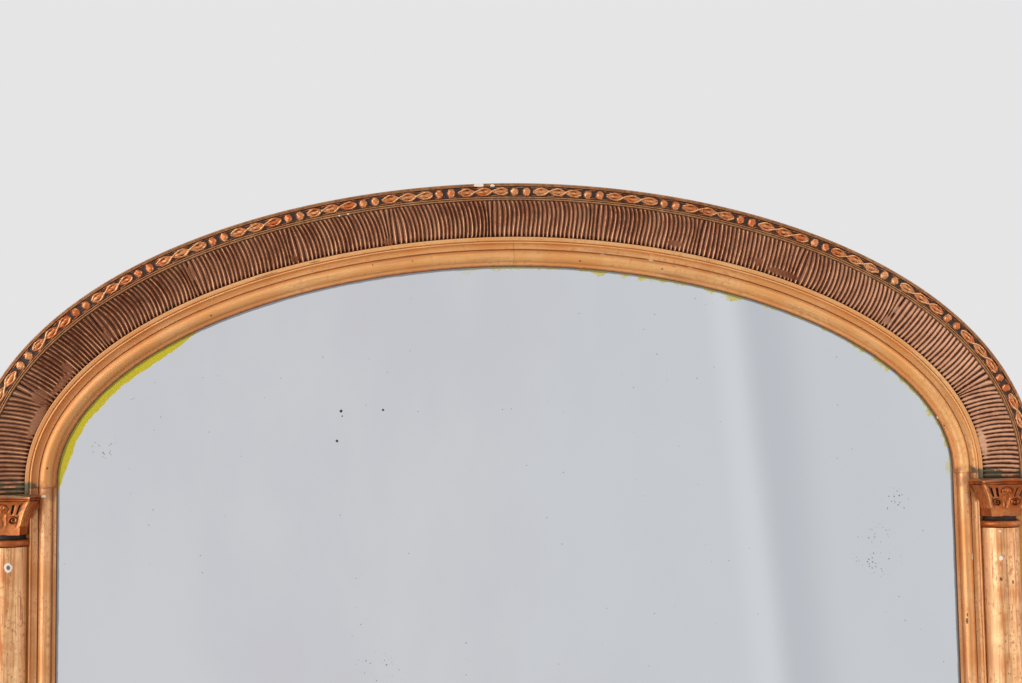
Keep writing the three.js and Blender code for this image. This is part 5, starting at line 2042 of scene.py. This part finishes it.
@dataclass
class Studio:
    """Camera, soft boxes, pale surroundings, floor, and the glowing cloth that the glass reflects.

    The first soft box is the main light, to the front left. A smaller one fills the right, and
    a dim one stands behind. Their light is kept out of the glass.
    """

    yaw: float = 4.766
    pitch: float = -4.282
    roll: float = 0.849
    offset: tuple[float, float, float] = (5.86, -140.89, -1505.95)
    lens: float = 50.0
    sensor: float = 36.0
    backdrop: Colour = (230, 229, 230)
    ambient: float = 0.48
    lamp_colour: tuple[float, float, float] = (1.0, 0.99, 0.97)
    box_foot: float = 0.1
    boxes: tuple[SoftBox, ...] = (SoftBox((-3.40, -0.55), (-1.75, -2.10), 2.9, 2.9),
                                  SoftBox((0.95, -1.02), (1.35, -0.10), 0.65),
                                  SoftBox((1.30, 1.90), (-1.30, 1.90), 0.42))
    floor_half: float = 8.0
    floor_drop: float = 0.0004
    cloth_y: float = -3.3
    cloth_x: tuple[float, float, int] = (-3.4, 3.4, 260)
    cloth_z: tuple[float, float, int] = (-0.2, 3.4, 24)

    def camera(self) -> None:
        """The photograph's camera: rotation Rz Rx Ry, and the offset of the spring line's middle."""
        y, p, r = (math.radians(a) for a in (self.yaw, self.pitch, self.roll))
        turn_y = np.array([[math.cos(y), 0, math.sin(y)], [0, 1, 0], [-math.sin(y), 0, math.cos(y)]])
        turn_x = np.array([[1, 0, 0], [0, math.cos(p), -math.sin(p)], [0, math.sin(p), math.cos(p)]])
        turn_z = np.array([[math.cos(r), -math.sin(r), 0], [math.sin(r), math.cos(r), 0], [0, 0, 1]])
        rotation = turn_z @ turn_x @ turn_y
        place = -rotation.T @ np.array(self.offset)
        to_row = np.array([[1, 0, 0], [0, 0, -1], [0, 1, 0]])
        origin = np.array([0.0, ARCH.glass_y, ARCH.spring])
        matrix = np.eye(4)
        matrix[:3, :3] = to_row @ rotation.T
        matrix[:3, 3] = (origin + to_row @ place) * MM
        data = bpy.data.cameras.new("camera")
        data.lens, data.sensor_width = self.lens, self.sensor
        camera = placed("camera", data)
        camera.matrix_world = Matrix(matrix.tolist())
        bpy.context.scene.camera = camera

    def lights(self) -> None:
        """The soft boxes, not seen by the plate; a box's power is 4 * its area * its radiance."""
        unlit = bpy.data.collections.new("not_seen_by_the_plate")
        unlit.objects.link(bpy.data.objects["mirror_plate"])
        unlit.collection_objects[0].light_linking.link_state = "EXCLUDE"
        for number, box in enumerate(self.boxes, 1):
            run_x, run_y = box.end[0] - box.start[0], box.end[1] - box.start[1]
            width = math.hypot(run_x, run_y)
            data = bpy.data.lights.new(f"soft_box_{number}", "AREA")
            data.shape = "RECTANGLE"
            data.size, data.size_y = width, box.height
            data.energy = 4.0 * width * box.height * box.radiance
            data.color = self.lamp_colour
            lamp = placed(data.name, data)
            lamp.location = ((box.start[0] + box.end[0]) / 2, (box.start[1] + box.end[1]) / 2,
                             box.height / 2 + self.box_foot)
            lamp.rotation_euler = (math.radians(90.0), 0.0, math.atan2(run_y, run_x))
            lamp.visible_camera = False
            lamp.light_linking.receiver_collection = unlit

    def world(self) -> None:
        """Plain ambient light; what the camera and gloss see is the pale backdrop."""
        world = bpy.data.worlds.new("surroundings")
        bpy.context.scene.world = world
        shader = Shader(world)
        rays = shader.node("ShaderNodeLightPath", {}, {}).outputs
        camera, gloss, through = (Value(shader, rays[f"Is {kind} Ray"])
                                  for kind in ("Camera", "Glossy", "Transmission"))
        lit = (((1.0, 1.0, 1.0, 1.0), self.ambient), (linear(self.backdrop), 1.0))
        ambient, backdrop = (shader.node("ShaderNodeBackground", {}, {0: colour, 1: strength}).outputs[0]
                             for colour, strength in lit)
        seen = camera.at_least(gloss).at_least(through)
        mix = shader.node("ShaderNodeMixShader", {}, {0: seen, 1: ambient, 2: backdrop})
        shader.node("ShaderNodeOutputWorld", {}, {0: mix.outputs[0]})

    def floor(self) -> None:
        """A wide pale floor just under the foot."""
        size, z = self.floor_half, -self.floor_drop
        corners = [(-size, -size, z), (size, -size, z), (size, size, z), (-size, size, z)]
        mesh = bpy.data.meshes.new("floor")
        mesh.from_pydata(corners, [], [(0, 1, 2, 3)])
        shader = Shader(bpy.data.materials.new("pale_floor"))
        weave = shader.mix(shader.noise(40.0), linear((228, 226, 224)), linear((234, 232, 231)))
        mesh.materials.append(shader.finish({"Base Color": weave, "Roughness": 0.85}))
        placed("floor", mesh)

    def cloth_material(self) -> bpy.types.Material:
        """The cloth's painted light: its pale tones, one lit fold and the shaded hollow beside it.

        Returns:
            The material, which glows by itself.
        """
        shader = Shader(bpy.data.materials.new("glowing_cloth"))
        along = shader.axis(0) + (shader.axis(2) - 1.0) * 0.085
        rumple = shader.noise((2.2, 2.2, 1.1), detail=4.0, shift=4.0).ramp(0.30, 0.70)
        # painted light: the fold lit and the hollow beside it shaded
        fold = along.ramp(0.98, 1.06) * along.ramp(1.12, 1.07)
        hollow = along.ramp(1.09, 1.16) * along.ramp(1.36, 1.18)
        layers = Layers(shader, shader.mix(rumple, linear((219, 217, 220)), linear((224, 224, 225))))
        layers.lay(along.ramp(-0.3, 0.9), linear((219, 223, 225)), cover=0.5)
        layers.lay(fold, linear((229, 231, 233)), cover=0.8)
        layers.lay(hollow, linear((205, 208, 212)), cover=0.8)
        return shader.finish({"Color": layers.colour, "Strength": 1.0}, "ShaderNodeEmission")

    def cloth(self) -> None:
        """A hung pale cloth behind the camera that glows by itself, seen only in gloss: folds are slow
        sine waves.
        """
        x = np.linspace(*self.cloth_x)[:, None]
        z = np.linspace(*self.cloth_z)[None, :]
        fold = 0.035 * np.sin(x * 5.2 + 0.7) + 0.02 * np.sin(x * 11.3 + 0.25 * z)
        fold = fold + 0.01 * np.sin(x * 23.0)
        grid = stacked((x.size, z.size), x, self.cloth_y + fold, z)
        mesh = bpy.data.meshes.new("glowing_cloth")
        quads = grid_quads(x.size, z.size, False, False)
        mesh.from_pydata(grid.reshape(-1, 3).tolist(), [], quads.tolist())
        mesh.shade_smooth()
        mesh.materials.append(self.cloth_material())
        cloth = placed("glowing_cloth", mesh)
        for ray in ("camera", "diffuse", "transmission", "shadow", "volume_scatter"):
            setattr(cloth, f"visible_{ray}", False)

    def build(self) -> None:
        """All of the studio."""
        bpy.context.scene.view_settings.view_transform = "Standard"
        self.camera()
        self.world()
        self.lights()
        self.floor()
        self.cloth()
        LOG.info("studio: camera, %d soft boxes, floor, cloth", len(self.boxes))


def main() -> None:
    logging.basicConfig(level=logging.INFO, format="%(name)s: %(message)s")
    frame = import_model()
    bench = Bench(frame["nodes"], Palette())
    Studio().build()
    SightMoulding().build(bench)
    CoveCore().build(bench)
    ReededStrips().build(bench)
    EdgeOrnament().build(bench)
    HalfColumns(HalfColumn()).build(bench)
    Foot().build(bench)
    Carcass().build(bench)
    Hangers().build(bench)


if __name__ == "__main__":
    main()
